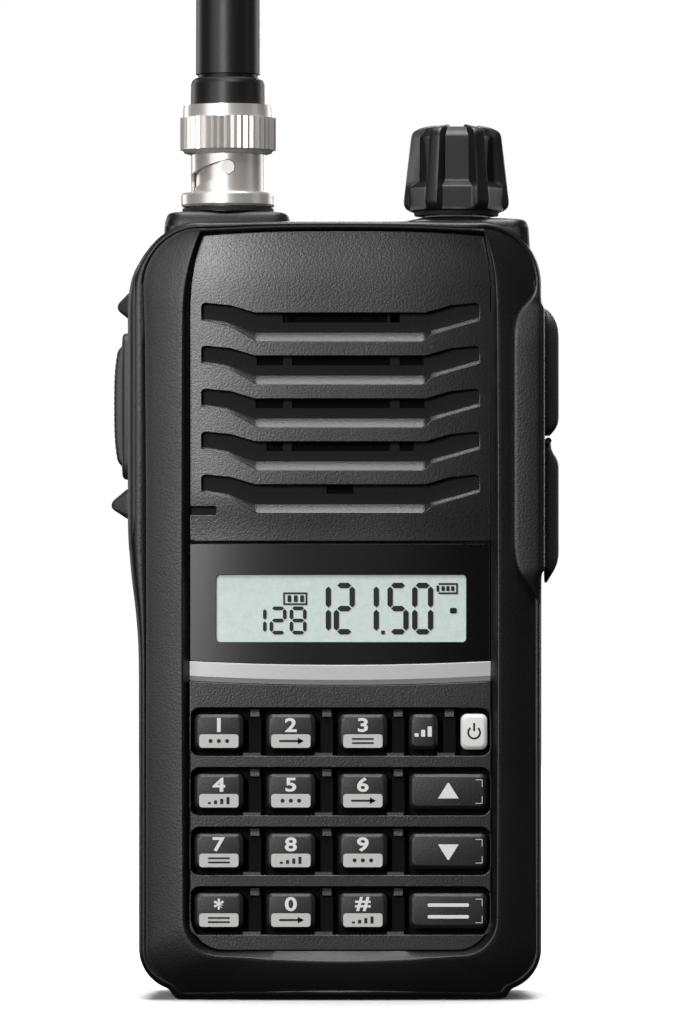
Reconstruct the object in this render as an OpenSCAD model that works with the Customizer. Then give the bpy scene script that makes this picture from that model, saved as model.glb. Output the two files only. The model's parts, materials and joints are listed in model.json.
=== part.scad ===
// Handheld aviation radio with a bayonet antenna, a keypad, a clip and a slide-on battery pack.
// Millimetres. The origin is on the flat base under the middle of the radio: +X is the side
// with the jacks, +Y points out of the back and +Z runs up the antenna. The display faces -Y.

/* [Case] */
// Width of the front case
case_w = 58.6; // [56:0.2:62]
// Height of the front case above the base
case_h = 113; // [112:0.5:115]
// Wall thickness of the front case
wall = 1.8; // [1.4:0.1:2]
// Radius of the lower corners, seen from the front
low_r = 6.2; // [4:0.2:8]
// Radius of the upper corners, seen from the front
high_r = 9; // [7:0.5:10]

/* [Front panel] */
// Width of the opening that holds the face plate
open_w = 43.9; // [43:0.1:45]
// Height of the opening's lower edge
open_low = 7.2; // [6.5:0.1:8]
// Height of the opening's upper edge
open_top = 111.5; // [111:0.1:112]
// Distance between two louvre slots
slot_pitch = 6.235; // [6:0.05:6.4]

/* [Keys] */
// Distance between two key rows
row_pitch = 8.66; // [8.4:0.02:8.8]
// Height of a key cap
key_h = 5.25; // [4.8:0.05:5.6]
// How far a key goes in
key_travel = 0.7; // [0.4:0.1:0.7]

/* [Antenna] */
// Distance of the antenna from the middle of the radio
antenna_x = -16.4; // [-17:0.1:-16]
// Height of the antenna's tip above the base
antenna_top = 285; // [240:1:310]
// Radius of the rubber sheath at its foot
sheath_r = 4.7; // [4.5:0.1:5]

/* [Volume knob] */
// Distance of the knob from the middle of the radio
knob_x = 17; // [16.8:0.1:17.6]
// Radius of the knob at its foot
knob_r = 7.75; // [7:0.05:8]

/* [Battery pack] */
// Height of the battery pack
pack_h = 80; // [78:0.5:80]
// Width of the battery pack
pack_w = 57.2; // [56:0.2:57.6]

/* [Hidden] */
$fn = 48;
arc_steps = 7;

// Depths, front to back
front_y = -15;         // crown of the case's rails
lobe_y = -15.25;       // face of the raised lobe beside the jacks
plate_y = -13.9;       // face of the face plate
ledge_y = -13;         // inside of the case's front wall
plate_back_y = -11.8;  // back of the face plate
case_back_y = 2.4;     // back edge of the front case
chassis_y = 3;         // front of the chassis plate
chassis_back_y = 5;    // back of the chassis plate
pack_y = 5.3;          // front of the battery pack
back_y = 15.25;        // back of the pack and of the chassis housing
top_y = -6;            // axis of the antenna and of the knob
side_y = -3.5;         // middle of the push-to-talk bar, the side keys and the jacks

half_w = case_w / 2;
foot_h = 1.2;          // the case's flat foot stands this far below its rounded corners
foot_w = 48.8;
top_wall_z = case_h - 2.5;
boss_z = 114.9;        // top of the antenna boss
knob_boss_z = 113.8;   // top of the knob boss

// Speaker, microphone and louvres
speaker_z = 88;
speaker_hole_r = 13.1;
slot_z = 99.8;         // upper edge of the first slot, at its middle
slot_floor_y = -12.2;
slots = 5;

// Display and trim
window_z = [49.3, 66.7];
window_half = 21.85;
glass_half = 20.5;
glass_z = [50, 64.5];

// Keys: name, middle in X, width, row counted from the top
digit_x = [-17.6, -7.15, 3.3];
digit_w = 7.2;
wide_x = 15.7;
wide_w = 11.4;
KEYS = [
    ["key_1", digit_x[0], digit_w, 0], ["key_2", digit_x[1], digit_w, 0], ["key_3", digit_x[2], digit_w, 0],
    ["key_monitor", 12.1, 4.25, 0], ["key_power", 19.45, 3.9, 0],
    ["key_4", digit_x[0], digit_w, 1], ["key_5", digit_x[1], digit_w, 1], ["key_6", digit_x[2], digit_w, 1],
    ["key_up", wide_x, wide_w, 1],
    ["key_7", digit_x[0], digit_w, 2], ["key_8", digit_x[1], digit_w, 2], ["key_9", digit_x[2], digit_w, 2],
    ["key_down", wide_x, wide_w, 2],
    ["key_star", digit_x[0], digit_w, 3], ["key_0", digit_x[1], digit_w, 3],
    ["key_hash", digit_x[2], digit_w, 3],
    ["key_mode", wide_x, wide_w, 3]
];
top_row_z = 39;        // middle of the upper key row
rows = 4;
row_h = 6.95;          // height of a row's recess
row_half = 21.9;
key_gap = 0.6;         // gap between a key and its hole, left and right
key_y = -14.4;
key_back_y = -11.6;

// Side controls, on the left side: bottom and top of each
ptt_z = [75.8, 97.2];
upper_key_z = [99.3, 103.1];
lower_key_z = [70, 74.4];
ptt_out_x = -33.15;    // outermost faces of the three caps
upper_key_out_x = -32.6;
lower_key_out_x = -33.5;
pad_x = -31.1;         // outer face of the pad around them
button_in_x = -30.5;   // inner face of their caps

// Jacks and their cover, on the right side
jack_z = [66, 75.5];
jack_r = [1.8, 1.3];
jack_mouth_x = 29.2;
jack_depth = 12.2;
lobe_x = 29.9;         // outer face of the lobe
cover_x = 31.95;       // outer face of the cover
flap_hinge = [30.4, 81.4];
cover_in_x = 30;       // inner face of the flap
cover_half = 4.7;

// Bayonet connector and antenna
lug_z = 121.2;
lug_r = 1;
barrel_r = 4.75;
sleeve_bore_r = 4.95;
sleeve_r = 5.4;
slot_turn = 75;        // degrees that the sleeve turns
slot_rise = 2;         // how far that lifts the antenna
slot_cuts = 14;
knurl_teeth = 44;
sleeve_top_z = 130.4;
collar_top_z = 134.4;
coil_turns = 16;

// Knob and encoder
knob_low_z = 114.3;
knob_top_z = 127.6;
shaft_r = 3;
flutes = 6;

// Pack, latch and clip
latch_z = [2.8, 8.8];
latch_travel = 1.8;
clip_pivot = [20.4, 96];  // Y and Z
clip_plate_y = 17.05;
clip_pin_r = 1.2;
spring_turns = 5;

// Boards
board_half = 21.8;     // half their width

// Screws
case_screws = [[-25.2, 8.5], [25.2, 8.5], [-25.2, 56], [25.2, 56]];
board_screws = [[-19.3, 12], [19.3, 12], [-19.3, 52], [19.3, 52]];
clip_screws = [88, 104];
jack_screw_z = 92;

// ---------------------------------------------------------------- drawing aids

// Extrudes a shape drawn in X and Z from y0 back to y1.
module along_y(y0, y1) {
    translate([0, y1, 0]) rotate([90, 0, 0]) linear_extrude(y1 - y0) children();
}

// Extrudes a shape drawn in Y and Z from x0 to x1.
module along_x(x0, x1) {
    translate([x0, 0, 0]) rotate([90, 0, 90]) linear_extrude(x1 - x0) children();
}

// A round bar along Y, X or Z.
module bar_y(x, z, r, y0, y1) {
    translate([x, y1, z]) rotate([90, 0, 0]) cylinder(r = r, h = y1 - y0);
}
module bar_x(y, z, r, x0, x1) {
    translate([x0, y, z]) rotate([0, 90, 0]) cylinder(r = r, h = x1 - x0);
}
module bar_z(x, y, r, z0, z1) {
    translate([x, y, z0]) cylinder(r = r, h = z1 - z0);
}

// A block between two corners.
module block(low, high) {
    translate(low) cube(high - low);
}

// A quarter arc from angle a0, counter-clockwise.
function corner(cx, cz, r, a0) =
    [for (i = [0:arc_steps]) let (a = a0 + 90 * i / arc_steps) [cx + r * cos(a), cz + r * sin(a)]];

// A rectangle with one radius for its lower corners and one for its upper corners.
function outline(x0, x1, z0, z1, low, high) = concat(
    corner(x1 - high, z1 - high, high, 0),
    corner(x0 + high, z1 - high, high, 90),
    corner(x0 + low, z0 + low, low, 180),
    corner(x1 - low, z0 + low, low, 270));

function rounded(x0, x1, z0, z1, r) = outline(x0, x1, z0, z1, r, r);

function middle(range) = (range[0] + range[1]) / 2;
switch_z = [middle(ptt_z), middle(upper_key_z), middle(lower_key_z)];

// The case seen from the front, drawn in by inset.
function case_outline(inset) = outline(
    -half_w + inset, half_w - inset, foot_h + inset, case_h - inset,
    low_r - 0.6 * inset, high_r - 0.6 * inset);

// The face plate's opening, grown by g: it narrows towards a slightly arched top.
side_from = 100;
side_in = 2;
function opening_x(t, g) = open_w / 2 + g - side_in * t * t;
function opening(g) = concat(
    [for (i = [0:6]) [opening_x(i / 6, g), side_from + (open_top - 0.8 + g - side_from) * i / 6]],
    [for (i = [1:7]) let (u = 1 - i / 4) [opening_x(1, g) * u, open_top + g - 0.8 * u * u]],
    [for (i = [6:-1:0]) [-opening_x(i / 6, g), side_from + (open_top - 0.8 + g - side_from) * i / 6]],
    corner(-open_w / 2 - g + 5, open_low - g + 5, 5, 180),
    corner(open_w / 2 + g - 5, open_low - g + 5, 5, 270));

// A helix of wire round Z, as a closed polyhedron.
module helix(mean_r, wire_r, z0, z1, turns, per_turn, sides) {
    rings = turns * per_turn;
    points = [for (i = [0:rings], j = [0:sides - 1])
        let (a = 360 * i / per_turn, b = 360 * j / sides, r = mean_r + wire_r * cos(b))
        [r * cos(a), r * sin(a), z0 + (z1 - z0) * i / rings + wire_r * sin(b)]];
    skin = [for (i = [0:rings - 1], j = [0:sides - 1])
        let (k = (j + 1) % sides)
        for (three = [[i * sides + j, i * sides + k, (i + 1) * sides + k],
                      [i * sides + j, (i + 1) * sides + k, (i + 1) * sides + j]]) three];
    caps = [[for (j = [sides - 1:-1:0]) j], [for (j = [0:sides - 1]) rings * sides + j]];
    polyhedron(points, concat(skin, caps));
}

// ---------------------------------------------------------------- case and front panel

// The outside of the front case, with its front edges rounded off.
module case_block() {
    hull() {
        along_y(front_y, front_y + 0.2) polygon(case_outline(3));
        along_y(front_y + 0.7, front_y + 0.9) polygon(case_outline(1.2));
        along_y(front_y + 2.2, front_y + 2.4) polygon(case_outline(0.3));
        along_y(front_y + 4.2, case_back_y) polygon(case_outline(0));
    }
}

// The raised lobe that carries the jack cover.
module jack_lobe() {
    edge = [[24.9, 64], [24.9, 94], [25.4, 97], [26.6, 99.4], [28.3, 101.3], [lobe_x, 102.4],
            [lobe_x, 57.2], [28.9, 58.4], [27, 60.2], [25.4, 62]];
    crown = [[25.5, 64.3], [25.5, 93.7], [26, 96.6], [27.2, 98.9], [28.9, 100.8],
             [28.9, 59], [27.5, 60.6], [26, 62.4]];
    along_y(lobe_y + 0.6, case_back_y) polygon(edge);
    along_y(lobe_y, lobe_y + 0.7) polygon(crown);
}

// A tapered boss on top of the case.
module top_boss(x0, x1, top_z, lean) {
    hull() {
        block([x0, front_y + 1.8, case_h - 6], [x1, case_back_y, case_h - 5]);
        block([x0 + 0.5, front_y + 2.2, top_z - 0.8], [x1 - lean, case_back_y, top_z - 0.7]);
        block([x0 + 1.2, front_y + 2.9, top_z - 0.1], [x1 - lean - 0.8, case_back_y, top_z]);
    }
}

module case_posts() {
    for (p = case_screws) bar_y(p[0], p[1], 2.4, ledge_y, chassis_y);
}

module front_case() color("#2b2c2e") difference() {
    union() {
        difference() {
            union() {
                case_block();
                along_y(front_y + 1.8, case_back_y)
                    polygon(rounded(-foot_w / 2, foot_w / 2, 0, foot_h + 3, 0.9));
                jack_lobe();
                top_boss(-25.6, -7.1, boss_z, 0.9);
                top_boss(10.2, 27.6, knob_boss_z, 0.9);
            }
            along_y(ledge_y, case_back_y + 1)
                polygon(outline(-half_w + wall, half_w - wall, 2.9, top_wall_z, 4.5, 6.5));
        }
        case_posts();
    }
    // chamfered opening for the face plate
    hull() {
        along_y(front_y - 0.5, front_y - 0.4) polygon(opening(1.5));
        along_y(plate_y - 0.1, plate_y) polygon(opening(0));
    }
    along_y(plate_y - 0.1, ledge_y + 0.1) polygon(opening(0));
    bar_z(antenna_x, top_y, barrel_r + 0.15, 108, boss_z + 1);
    bar_z(knob_x, top_y, 3.6, 108, knob_boss_z + 1);
    for (p = case_screws) bar_y(p[0], p[1], 1.25, -5, chassis_y + 1);
    // window for the jacks and the hole for the cover's screw
    along_x(half_w - wall - 1, lobe_x + 1) polygon(rounded(side_y - 4, side_y + 4, 62.7, 79, 1.5));
    bar_x(side_y, jack_screw_z, 1.25, 27, lobe_x + 1);
    // stems of the side controls
    for (z = switch_z) bar_x(side_y, z, 1.6, -31.5, -27);
}

// One louvre slot's outline, cranked up at both ends; z is its upper edge at the middle.
function slot_shape(z) = [
    [-20, z - 0.7], [-20, z + 1.2], [-19.5, z + 1.45], [-15.9, z + 1.05], [-12.4, z],
    [12.4, z], [16, z + 1.05], [19.8, z + 1.45], [20.2, z + 1.2], [20.2, z - 0.5],
    [16.2, z - 1.1], [12.6, z - 2.8], [-12.4, z - 2.8], [-16, z - 1.2]];

module louvre_slot(z) {
    along_y(plate_y - 1, slot_floor_y) polygon(slot_shape(z));
    // sloped lower lip
    along_x(-12.2, 12.4) polygon([[plate_y - 1, z - 5.1], [plate_y - 1, z - 2.7], [plate_y + 1.3, z - 2.7]]);
    // deep openings to the speaker, between two ribs
    intersection() {
        along_y(plate_y - 1, plate_back_y + 1) {
            translate([-15, z - 1.25]) square([6.7, 1.25]);
            translate([-7, z - 1.25]) square([14.2, 1.25]);
            translate([8.6, z - 1.25]) square([6.4, 1.25]);
        }
        bar_y(0, speaker_z, speaker_hole_r, plate_y - 1, plate_back_y + 1);
    }
}

// The key holes, and the shallow recess that joins those of one row.
module key_row_recess(row) {
    z = top_row_z - row * row_pitch;
    along_y(plate_y - 1, plate_y + 0.8)
        polygon(rounded(-row_half, row_half, z - row_h / 2, z + row_h / 2, 1));
}
module key_hole(k) {
    z = top_row_z - k[3] * row_pitch;
    along_y(plate_y - 1, plate_back_y + 1)
        polygon(rounded(max(-row_half, k[1] - k[2] / 2 - key_gap), min(row_half, k[1] + k[2] / 2 + key_gap),
                        z - row_h / 2, z + row_h / 2, 1));
}

// Upper and lower edge of the trim strip: both sag in the middle.
function strip_top(x) = 48.7 + 0.55 * pow(x / window_half, 2);
function strip_low(x) = 45.8 + 0.6 * pow(x / window_half, 2);
function across(n) = [for (i = [0:n]) window_half * (1 - 2 * i / n)];

module face_plate() color("#333436") difference() {
    union() {
        along_y(plate_y, ledge_y) polygon(opening(-0.08));
        intersection() {
            along_y(ledge_y, plate_back_y) polygon(opening(0.7));
            block([-30, ledge_y, 0], [30, plate_back_y, top_wall_z - 0.1]);
        }
    }
    for (i = [0:slots - 1]) louvre_slot(slot_z - i * slot_pitch);
    // microphone slot, window pocket, display opening and strip pocket
    block([-23, plate_y - 1, 70.8], [-18.2, plate_back_y + 1, 71.6]);
    block([-30, plate_y - 1, window_z[0] - 1], [30, -12.4, window_z[1]]);
    block([-19.2, plate_y - 1, 51.3], [19.2, plate_back_y + 1, 62.6]);
    block([-30, plate_y - 1, 45.6], [30, -12.9, window_z[0]]);
    for (row = [0:rows - 1]) key_row_recess(row);
    for (k = KEYS) key_hole(k);
}

module display_window() color("#101113")
    along_y(plate_y + 0.05, -12.4) polygon(concat(
        [[-window_half, window_z[1] - 0.1], [window_half, window_z[1] - 0.1]],
        [for (x = across(12)) [x, strip_top(x) + 0.05]]));

module trim_strip() color("#c9cacb")
    along_y(plate_y - 0.4, -12.95) polygon(concat(
        [for (x = across(12)) [-x, strip_low(x)]],
        [for (x = across(12)) [x, strip_top(x) - 0.05]]));

module lcd_glass() color("#b6cfc4")
    along_y(-11.7, -10.2) polygon(rounded(-glass_half, glass_half, glass_z[0], glass_z[1], 0.6));

module lcd_backlight() color("#e8ecdf")
    along_y(-10.2, -7.9) polygon(rounded(-glass_half, glass_half, glass_z[0], glass_z[1], 0.6));

// ---------------------------------------------------------------- sound

// Turns a profile drawn as radius and depth behind the plate about the speaker's axis.
module speaker_turned() {
    translate([0, -11.4, speaker_z]) rotate([-90, 0, 0]) rotate_extrude() children();
}

module speaker_mesh() color("#1a1a1b")
    along_y(-11.75, -11.45) polygon(rounded(-19, 19, 73, 102.5, 2));

module speaker_driver() color("#8f9194") speaker_turned()
    polygon([[0, 4.9], [10.8, 4.9], [16.9, 1], [16.9, 0], [18, 0], [18, 1.2],
             [11.4, 5.5], [9.5, 5.5], [9.5, 7.8], [0, 7.8]]);

module speaker_cone() color("#3a3734") speaker_turned()
    polygon([[0, 1.6], [3, 1.9], [5, 2.6], [16.7, 0.3], [16.7, 0.7], [5, 3], [0, 2.2]]);

module mic_capsule() color("#b9bbbd") bar_y(-20.3, 70.2, 2, -11.7, -9.4);

// ---------------------------------------------------------------- boards and keys

module key_mat() color("#4a4b4d") {
    along_y(-10.6, -9.6) polygon(rounded(-22, 22, 9, 43.5, 1.5));
    for (k = KEYS) bar_y(k[1], top_row_z - k[3] * row_pitch, 1.4, -9.7, -7.7);
}

module key_cap(k) color("#303133") {
    z = top_row_z - k[3] * row_pitch;
    x0 = k[1] - k[2] / 2;
    x1 = k[1] + k[2] / 2;
    along_y(key_y + 0.35, key_back_y) polygon(rounded(x0, x1, z - key_h / 2, z + key_h / 2, 0.9));
    along_y(key_y, key_y + 0.35)
        polygon(rounded(x0 + 0.3, x1 - 0.3, z - key_h / 2 + 0.3, z + key_h / 2 - 0.3, 0.7));
}

module logic_board() color("#1f5a3a") difference() {
    along_y(-7.7, -6.5) polygon(rounded(-board_half, board_half, 9, 68, 1));
    block([15, -8, 60.5], [30, -6, 70]);
}

module main_board() color("#23633f") {
    difference() {
        along_y(-3, -1.8) polygon(rounded(-board_half, board_half, 7, 103.5, 1));
        block([15, -4, 60.5], [30, -1, 80.5]);
        for (p = board_screws) bar_y(p[0], p[1], 1.1, -4, -1);
    }
    // shielding can and the larger chips
    block([-14, -1.8, 58], [12, 1.2, 98]);
    block([-12, -1.8, 20], [6, -0.6, 36]);
    block([-8, -4.4, 22], [8, -3, 46]);
}

module side_switches() color("#a8aaad") {
    for (z = switch_z) {
        block([-26.1, side_y - 2.2, z - 1.8], [-24, side_y + 2.2, z + 1.8]);
        block([-24, -5, z - 1.2], [-board_half, -1.9, z + 1.2]);
    }
}

// ---------------------------------------------------------------- chassis

function chassis_outline(inset) = outline(
    -half_w + 0.4 + inset, half_w - 0.4 - inset, inset, case_h - 0.4 - inset, 7, high_r - 0.6 * inset);

module chassis_posts() {
    for (p = board_screws) bar_y(p[0], p[1], 2, -1.8, chassis_y + 0.5);
}

module chassis() color("#3b3c3f") difference() {
    union() {
        along_y(chassis_y, chassis_back_y) polygon(chassis_outline(0));
        hull() {
            for (s = [[0, chassis_back_y - 1, 12.6], [0.9, 12.6, 14.3], [2.8, 14.3, back_y]])
                along_y(s[1], s[2]) polygon(outline(-half_w + 0.7 + s[0], half_w - 0.7 - s[0],
                    pack_h + 0.4, case_h - 0.6 - s[0], 1, high_r - s[0] * 0.5));
        }
        chassis_posts();
    }
    along_y(chassis_y - 1, back_y - 2) polygon(outline(-26.6, 26.6, pack_h + 2.4, case_h - 2.8, 1, 6.5));
    for (p = board_screws) bar_y(p[0], p[1], 0.95, -3, 2.5);
    for (p = case_screws) {
        bar_y(p[0], p[1], 1.3, chassis_y - 1, chassis_back_y + 1);
        bar_y(p[0], p[1], 2.3, chassis_back_y - 1.1, chassis_back_y + 1);
    }
    for (z = clip_screws) bar_y(0, z, 1.25, back_y - 3, back_y + 1);
    block([-9, chassis_y - 1, 4], [9, chassis_back_y + 1, 10]);
}

module case_seal() color("#151515") difference() {
    along_y(case_back_y, chassis_y) polygon(case_outline(0.35));
    along_y(case_back_y - 1, chassis_y + 1) polygon(case_outline(1.65));
}

module radio_terminals() color("#c8a24a") {
    block([-9, 1, 4], [9, 4.4, 10]);
    for (x = [-6, 0, 6]) block([x - 1.2, 4.4, 5], [x + 1.2, 5.2, 9]);
}

module screws() color("#77797c") {
    for (p = case_screws) {
        bar_y(p[0], p[1], 1.2, -4, 3.95);
        bar_y(p[0], p[1], 2.2, 3.95, chassis_back_y);
    }
    for (p = board_screws) {
        bar_y(p[0], p[1], 0.9, -3, 2);
        bar_y(p[0], p[1], 1.8, -4.2, -3);
    }
    for (z = clip_screws) {
        bar_y(0, z, 1.2, back_y - 1.6, clip_plate_y);
        bar_y(0, z, 2.2, clip_plate_y, clip_plate_y + 1.1);
    }
    bar_x(side_y, jack_screw_z, 1.2, 27.6, 30.9);
    bar_x(side_y, jack_screw_z, 1.9, 30.9, cover_x - 0.1);
}

// ---------------------------------------------------------------- side controls

// The pad wraps the left edge of the case; the case itself and the controls are cut out of it.
module side_pad() color("#38393b") difference() {
    hull() {
        along_y(-8, 1.6)
            polygon([[-29, 54], [pad_x, 66], [pad_x, 103.5], [-30, 107], [-27.6, 109.2], [-27, 100]]);
        along_y(front_y + 0.05, front_y + 0.3) polygon([[-28, 60], [-27.3, 66], [-27.3, 102], [-27.8, 106]]);
        along_y(front_y + 1.4, front_y + 1.6)
            polygon([[-29.2, 56], [-30.1, 66], [-30.1, 103], [-28.6, 107], [-27.4, 104]]);
    }
    case_block();
    along_x(pad_x - 2, -28) {
        polygon(rounded(side_y - 4.3, side_y + 4.3, ptt_z[0] - 0.3, ptt_z[1] + 0.3, 1.6));
        polygon(rounded(side_y - 2.9, side_y + 2.9, upper_key_z[0] - 0.3, upper_key_z[1] + 0.3, 1.2));
        polygon(rounded(side_y - 2.9, side_y + 2.9, lower_key_z[0] - 0.3, lower_key_z[1] + 0.3, 1.2));
    }
}

// A stem that reaches through the case to its switch.
module side_stem(z) { bar_x(side_y, z, 1.4, button_in_x - 0.2, -27.2); }

module ptt_button() color("#3f4042") {
    hull() {
        // outer face, inner face, half width and how far the ends are drawn in
        for (s = [[button_in_x - 1.1, button_in_x, 4, 0], [ptt_out_x + 0.4, ptt_out_x + 0.5, 3.2, 2],
                  [ptt_out_x, ptt_out_x + 0.1, 2.4, 7]])
            along_x(s[0], s[1])
                polygon(rounded(side_y - s[2], side_y + s[2], ptt_z[0] + s[3], ptt_z[1] - s[3], 1.4));
    }
    side_stem(switch_z[0]);
}

module side_key(z, out_x) color("#3f4042") {
    mid_z = middle(z);
    hull() {
        along_x(button_in_x - 0.3, button_in_x) polygon(rounded(side_y - 2.6, side_y + 2.6, z[0], z[1], 1));
        along_x(out_x, out_x + 0.1)
            polygon(rounded(side_y - 1.8, side_y + 1.8, mid_z - 0.7, mid_z + 0.7, 0.6));
    }
    side_stem(mid_z);
}

module side_key_upper() side_key(upper_key_z, upper_key_out_x);
module side_key_lower() side_key(lower_key_z, lower_key_out_x);

// ---------------------------------------------------------------- jacks

module jack_sockets() color("#1d1d1f") for (i = [0, 1]) difference() {
    union() {
        block([15.5, side_y - 3.5, jack_z[i] - 3.5], [half_w - wall - 0.1, side_y + 3.5, jack_z[i] + 3.5]);
        bar_x(side_y, jack_z[i], 3.2, half_w - wall - 0.2, jack_mouth_x);
    }
    bar_x(side_y, jack_z[i], jack_r[i], jack_mouth_x - jack_depth, jack_mouth_x + 1);
}

// The fixed upper half of the rubber cover, held by its screw.
module jack_cover_base() color("#2e2f31") difference() {
    along_y(side_y - cover_half, side_y + cover_half) polygon([
        [lobe_x, 82.2], [30.9, 82.2], [31.5, 83.1], [cover_x, 84.1], [cover_x, 97.8],
        [31.75, 99.4], [31.1, 100.4], [30.3, 100.8], [lobe_x, 100.8]]);
    bar_x(side_y, jack_screw_z, 1.3, 29, 32);
    bar_x(side_y, jack_screw_z, 2, 30.9, 32);
}

// The lower half opens about the thin waist between the two.
module jack_flap() color("#2e2f31") {
    along_y(side_y - cover_half, side_y + cover_half) polygon([
        [cover_in_x, 81.3], [30.9, 81.3], [30.9, 79.9], [31.5, 79.3], [cover_x, 78.3],
        [cover_x, 64.4], [31.6, 62.8], [31, 61.4], [30.3, 60.6], [30.1, 61.6], [cover_in_x, 61.8]]);
    bar_y(flap_hinge[0], flap_hinge[1], 0.5, side_y - cover_half, side_y + cover_half);
    along_x(29.45, cover_in_x + 0.1) polygon(rounded(side_y - 3.6, side_y + 3.6, 63.2, 78.4, 1.2));
}

// ---------------------------------------------------------------- antenna and bayonet

module bayonet_lug(grow) {
    for (s = [0, 180]) rotate([0, 0, s]) rotate([90, 0, 0])
        translate([0, lug_z, barrel_r - 0.4]) cylinder(r = lug_r + grow, h = 1 + 2 * grow);
}

module bnc_socket() color("#c8c4be") translate([antenna_x, top_y, 0]) {
    difference() {
        union() {
            cylinder(r = barrel_r, h = 124.9);
            translate([0, 0, boss_z]) cylinder(r = 5.8, h = 0.5);
            bayonet_lug(0);
        }
        translate([0, 0, -1]) cylinder(r = barrel_r + 1, h = 107.2);
        translate([0, 0, 116.9]) cylinder(r = 4.05, h = 10);
    }
    // insulator round the centre contact
    difference() {
        translate([0, 0, 116.9]) cylinder(r = 2.3, h = 6.5);
        translate([0, 0, 117.8]) cylinder(r = 0.75, h = 6);
    }
    // nut and washer under the case's top, and the contact's tail
    translate([0, 0, 107.7]) cylinder(r = 6.3, h = 2.2, $fn = 6);
    translate([0, 0, 109.8]) cylinder(r = 5.2, h = 0.5);
    translate([0, 0, 104]) cylinder(r = 0.6, h = 2.5);
}

module bnc_plug() color("#bdb9b2") translate([antenna_x, top_y, 0]) difference() {
    union() {
        translate([0, 0, 117.9]) cylinder(r = 3.95, h = 8);
        translate([0, 0, 125.4]) cylinder(r = 4.6, h = 5);
        translate([0, 0, 129.4]) cylinder(r = 2.2, h = 7);
    }
    difference() {
        translate([0, 0, 117.4]) cylinder(r = 2.5, h = 8);
        translate([0, 0, 118.9]) cylinder(r = 0.65, h = 8);
    }
}

function knurl(r, teeth) = [for (i = [0:2 * teeth - 1])
    let (a = 180 * i / teeth, d = i % 2 == 0 ? r : r - 0.3) [d * cos(a), d * sin(a)]];

// The turning sleeve. Its two slots climb round it and end in an axial groove inside the rim.
module bnc_sleeve() color("#cdc9c3") translate([antenna_x, top_y, 0]) difference() {
    union() {
        rotate_extrude() polygon([
            [sleeve_bore_r, 115.6], [6.6, 115.6], [6.85, 115.9], [6.85, 117.3], [6.6, 117.6],
            [sleeve_r, 117.8], [sleeve_r, 123.2], [6.4, 123.5], [6.6, 123.9], [6.6, 128.6],
            [6.5, sleeve_top_z], [4.7, sleeve_top_z], [4.7, 125.7], [sleeve_bore_r, 125.7]]);
        difference() {
            translate([0, 0, 123.9]) linear_extrude(4.7) polygon(knurl(7, knurl_teeth));
            translate([0, 0, 123]) cylinder(r = 6.4, h = 6);
        }
    }
    for (s = [0, 180]) {
        for (i = [0:slot_cuts]) let (t = i / slot_cuts)
            rotate([0, 0, s - 90 - slot_turn * t])
            translate([0, 0, lug_z - slot_rise * t]) rotate([0, 90, 0])
            translate([0, 0, sleeve_bore_r - 0.5]) cylinder(r = lug_r + 0.15, h = 1.2);
        rotate([0, 0, s - 90 - slot_turn]) translate([sleeve_bore_r - 0.5, -1.15, 114.5])
            cube([1.15, 2.3, lug_z - slot_rise - 114.5]);
    }
}

module antenna_collar() color("#121212") translate([antenna_x, top_y, 0]) rotate_extrude()
    polygon([[2.25, sleeve_top_z + 0.15], [5.45, sleeve_top_z + 0.15], [5.4, collar_top_z - 0.8],
             [5.2, collar_top_z - 0.3], [4.8, collar_top_z], [2.25, collar_top_z]]);

module antenna_sheath() color("#242527") translate([antenna_x, top_y, 0]) rotate_extrude()
    polygon(concat(
        [[2.25, collar_top_z], [4.35, collar_top_z], [4.4, collar_top_z + 0.5],
         [sheath_r, collar_top_z + 0.6], [sheath_r - 0.35, antenna_top - 4]],
        [for (i = [1:6]) let (a = 15 * i) [(sheath_r - 0.35) * cos(a), antenna_top - 4 + 4 * sin(a)]],
        [[0, antenna_top - 8], [3.1, antenna_top - 8], [3.1, 140], [2.25, 140]]));

module antenna_coil() color("#b08d57") translate([antenna_x, top_y, 0])
    helix(2.5, 0.35, 141, antenna_top - 9, coil_turns, 10, 5);

// ---------------------------------------------------------------- knob and encoder

module encoder_body() color("#9a9c9f") translate([knob_x, top_y, 0]) difference() {
    union() {
        translate([-5.6, -5.6, 103.6]) cube([11.2, 11.2, 6.2]);
        translate([0, 0, 109.7]) cylinder(r = 3.5, h = 5.9);
        translate([0, 0, knob_boss_z]) cylinder(r = 4.6, h = 1.5, $fn = 6);
    }
    translate([0, 0, 105]) cylinder(r = shaft_r + 0.04, h = 15);
}

module knob_shaft() color("#b5b7ba") translate([knob_x, top_y, 105.1]) cylinder(r = shaft_r, h = 18.4);

module volume_knob() color("#2a2b2d") translate([knob_x, top_y, 0]) difference() {
    rotate_extrude() polygon([
        [0, 116.2], [5.2, 116.2], [5.2, knob_low_z], [6.3, knob_low_z], [6.35, 114.8], [7.45, 115.2],
        [knob_r, 115.7], [knob_r, 116.1], [6.5, 126.3], [6.2, 126.9], [5.7, 127.2], [0, knob_top_z]]);
    for (i = [0:flutes - 1]) rotate([0, 0, 360 * i / flutes - 90]) {
        translate([4.9, -1.6, 118.8]) cube([5, 3.2, 10]);
        translate([6.55, -2.05, 115.4]) cube([3, 4.1, 3.5]);
    }
    translate([0, 0, 113.4]) cylinder(r = shaft_r, h = 10.1);
}

// ---------------------------------------------------------------- battery pack

module pack_block() {
    hull() for (s = [[0, pack_y, 12.2], [0.8, 12.2, 14], [2.6, 14, back_y]])
        along_y(s[1], s[2]) polygon(outline(-pack_w / 2 + s[0], pack_w / 2 - s[0],
            s[0] * 0.4, pack_h, 7 - s[0] * 0.5, 0.8));
}

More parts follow.
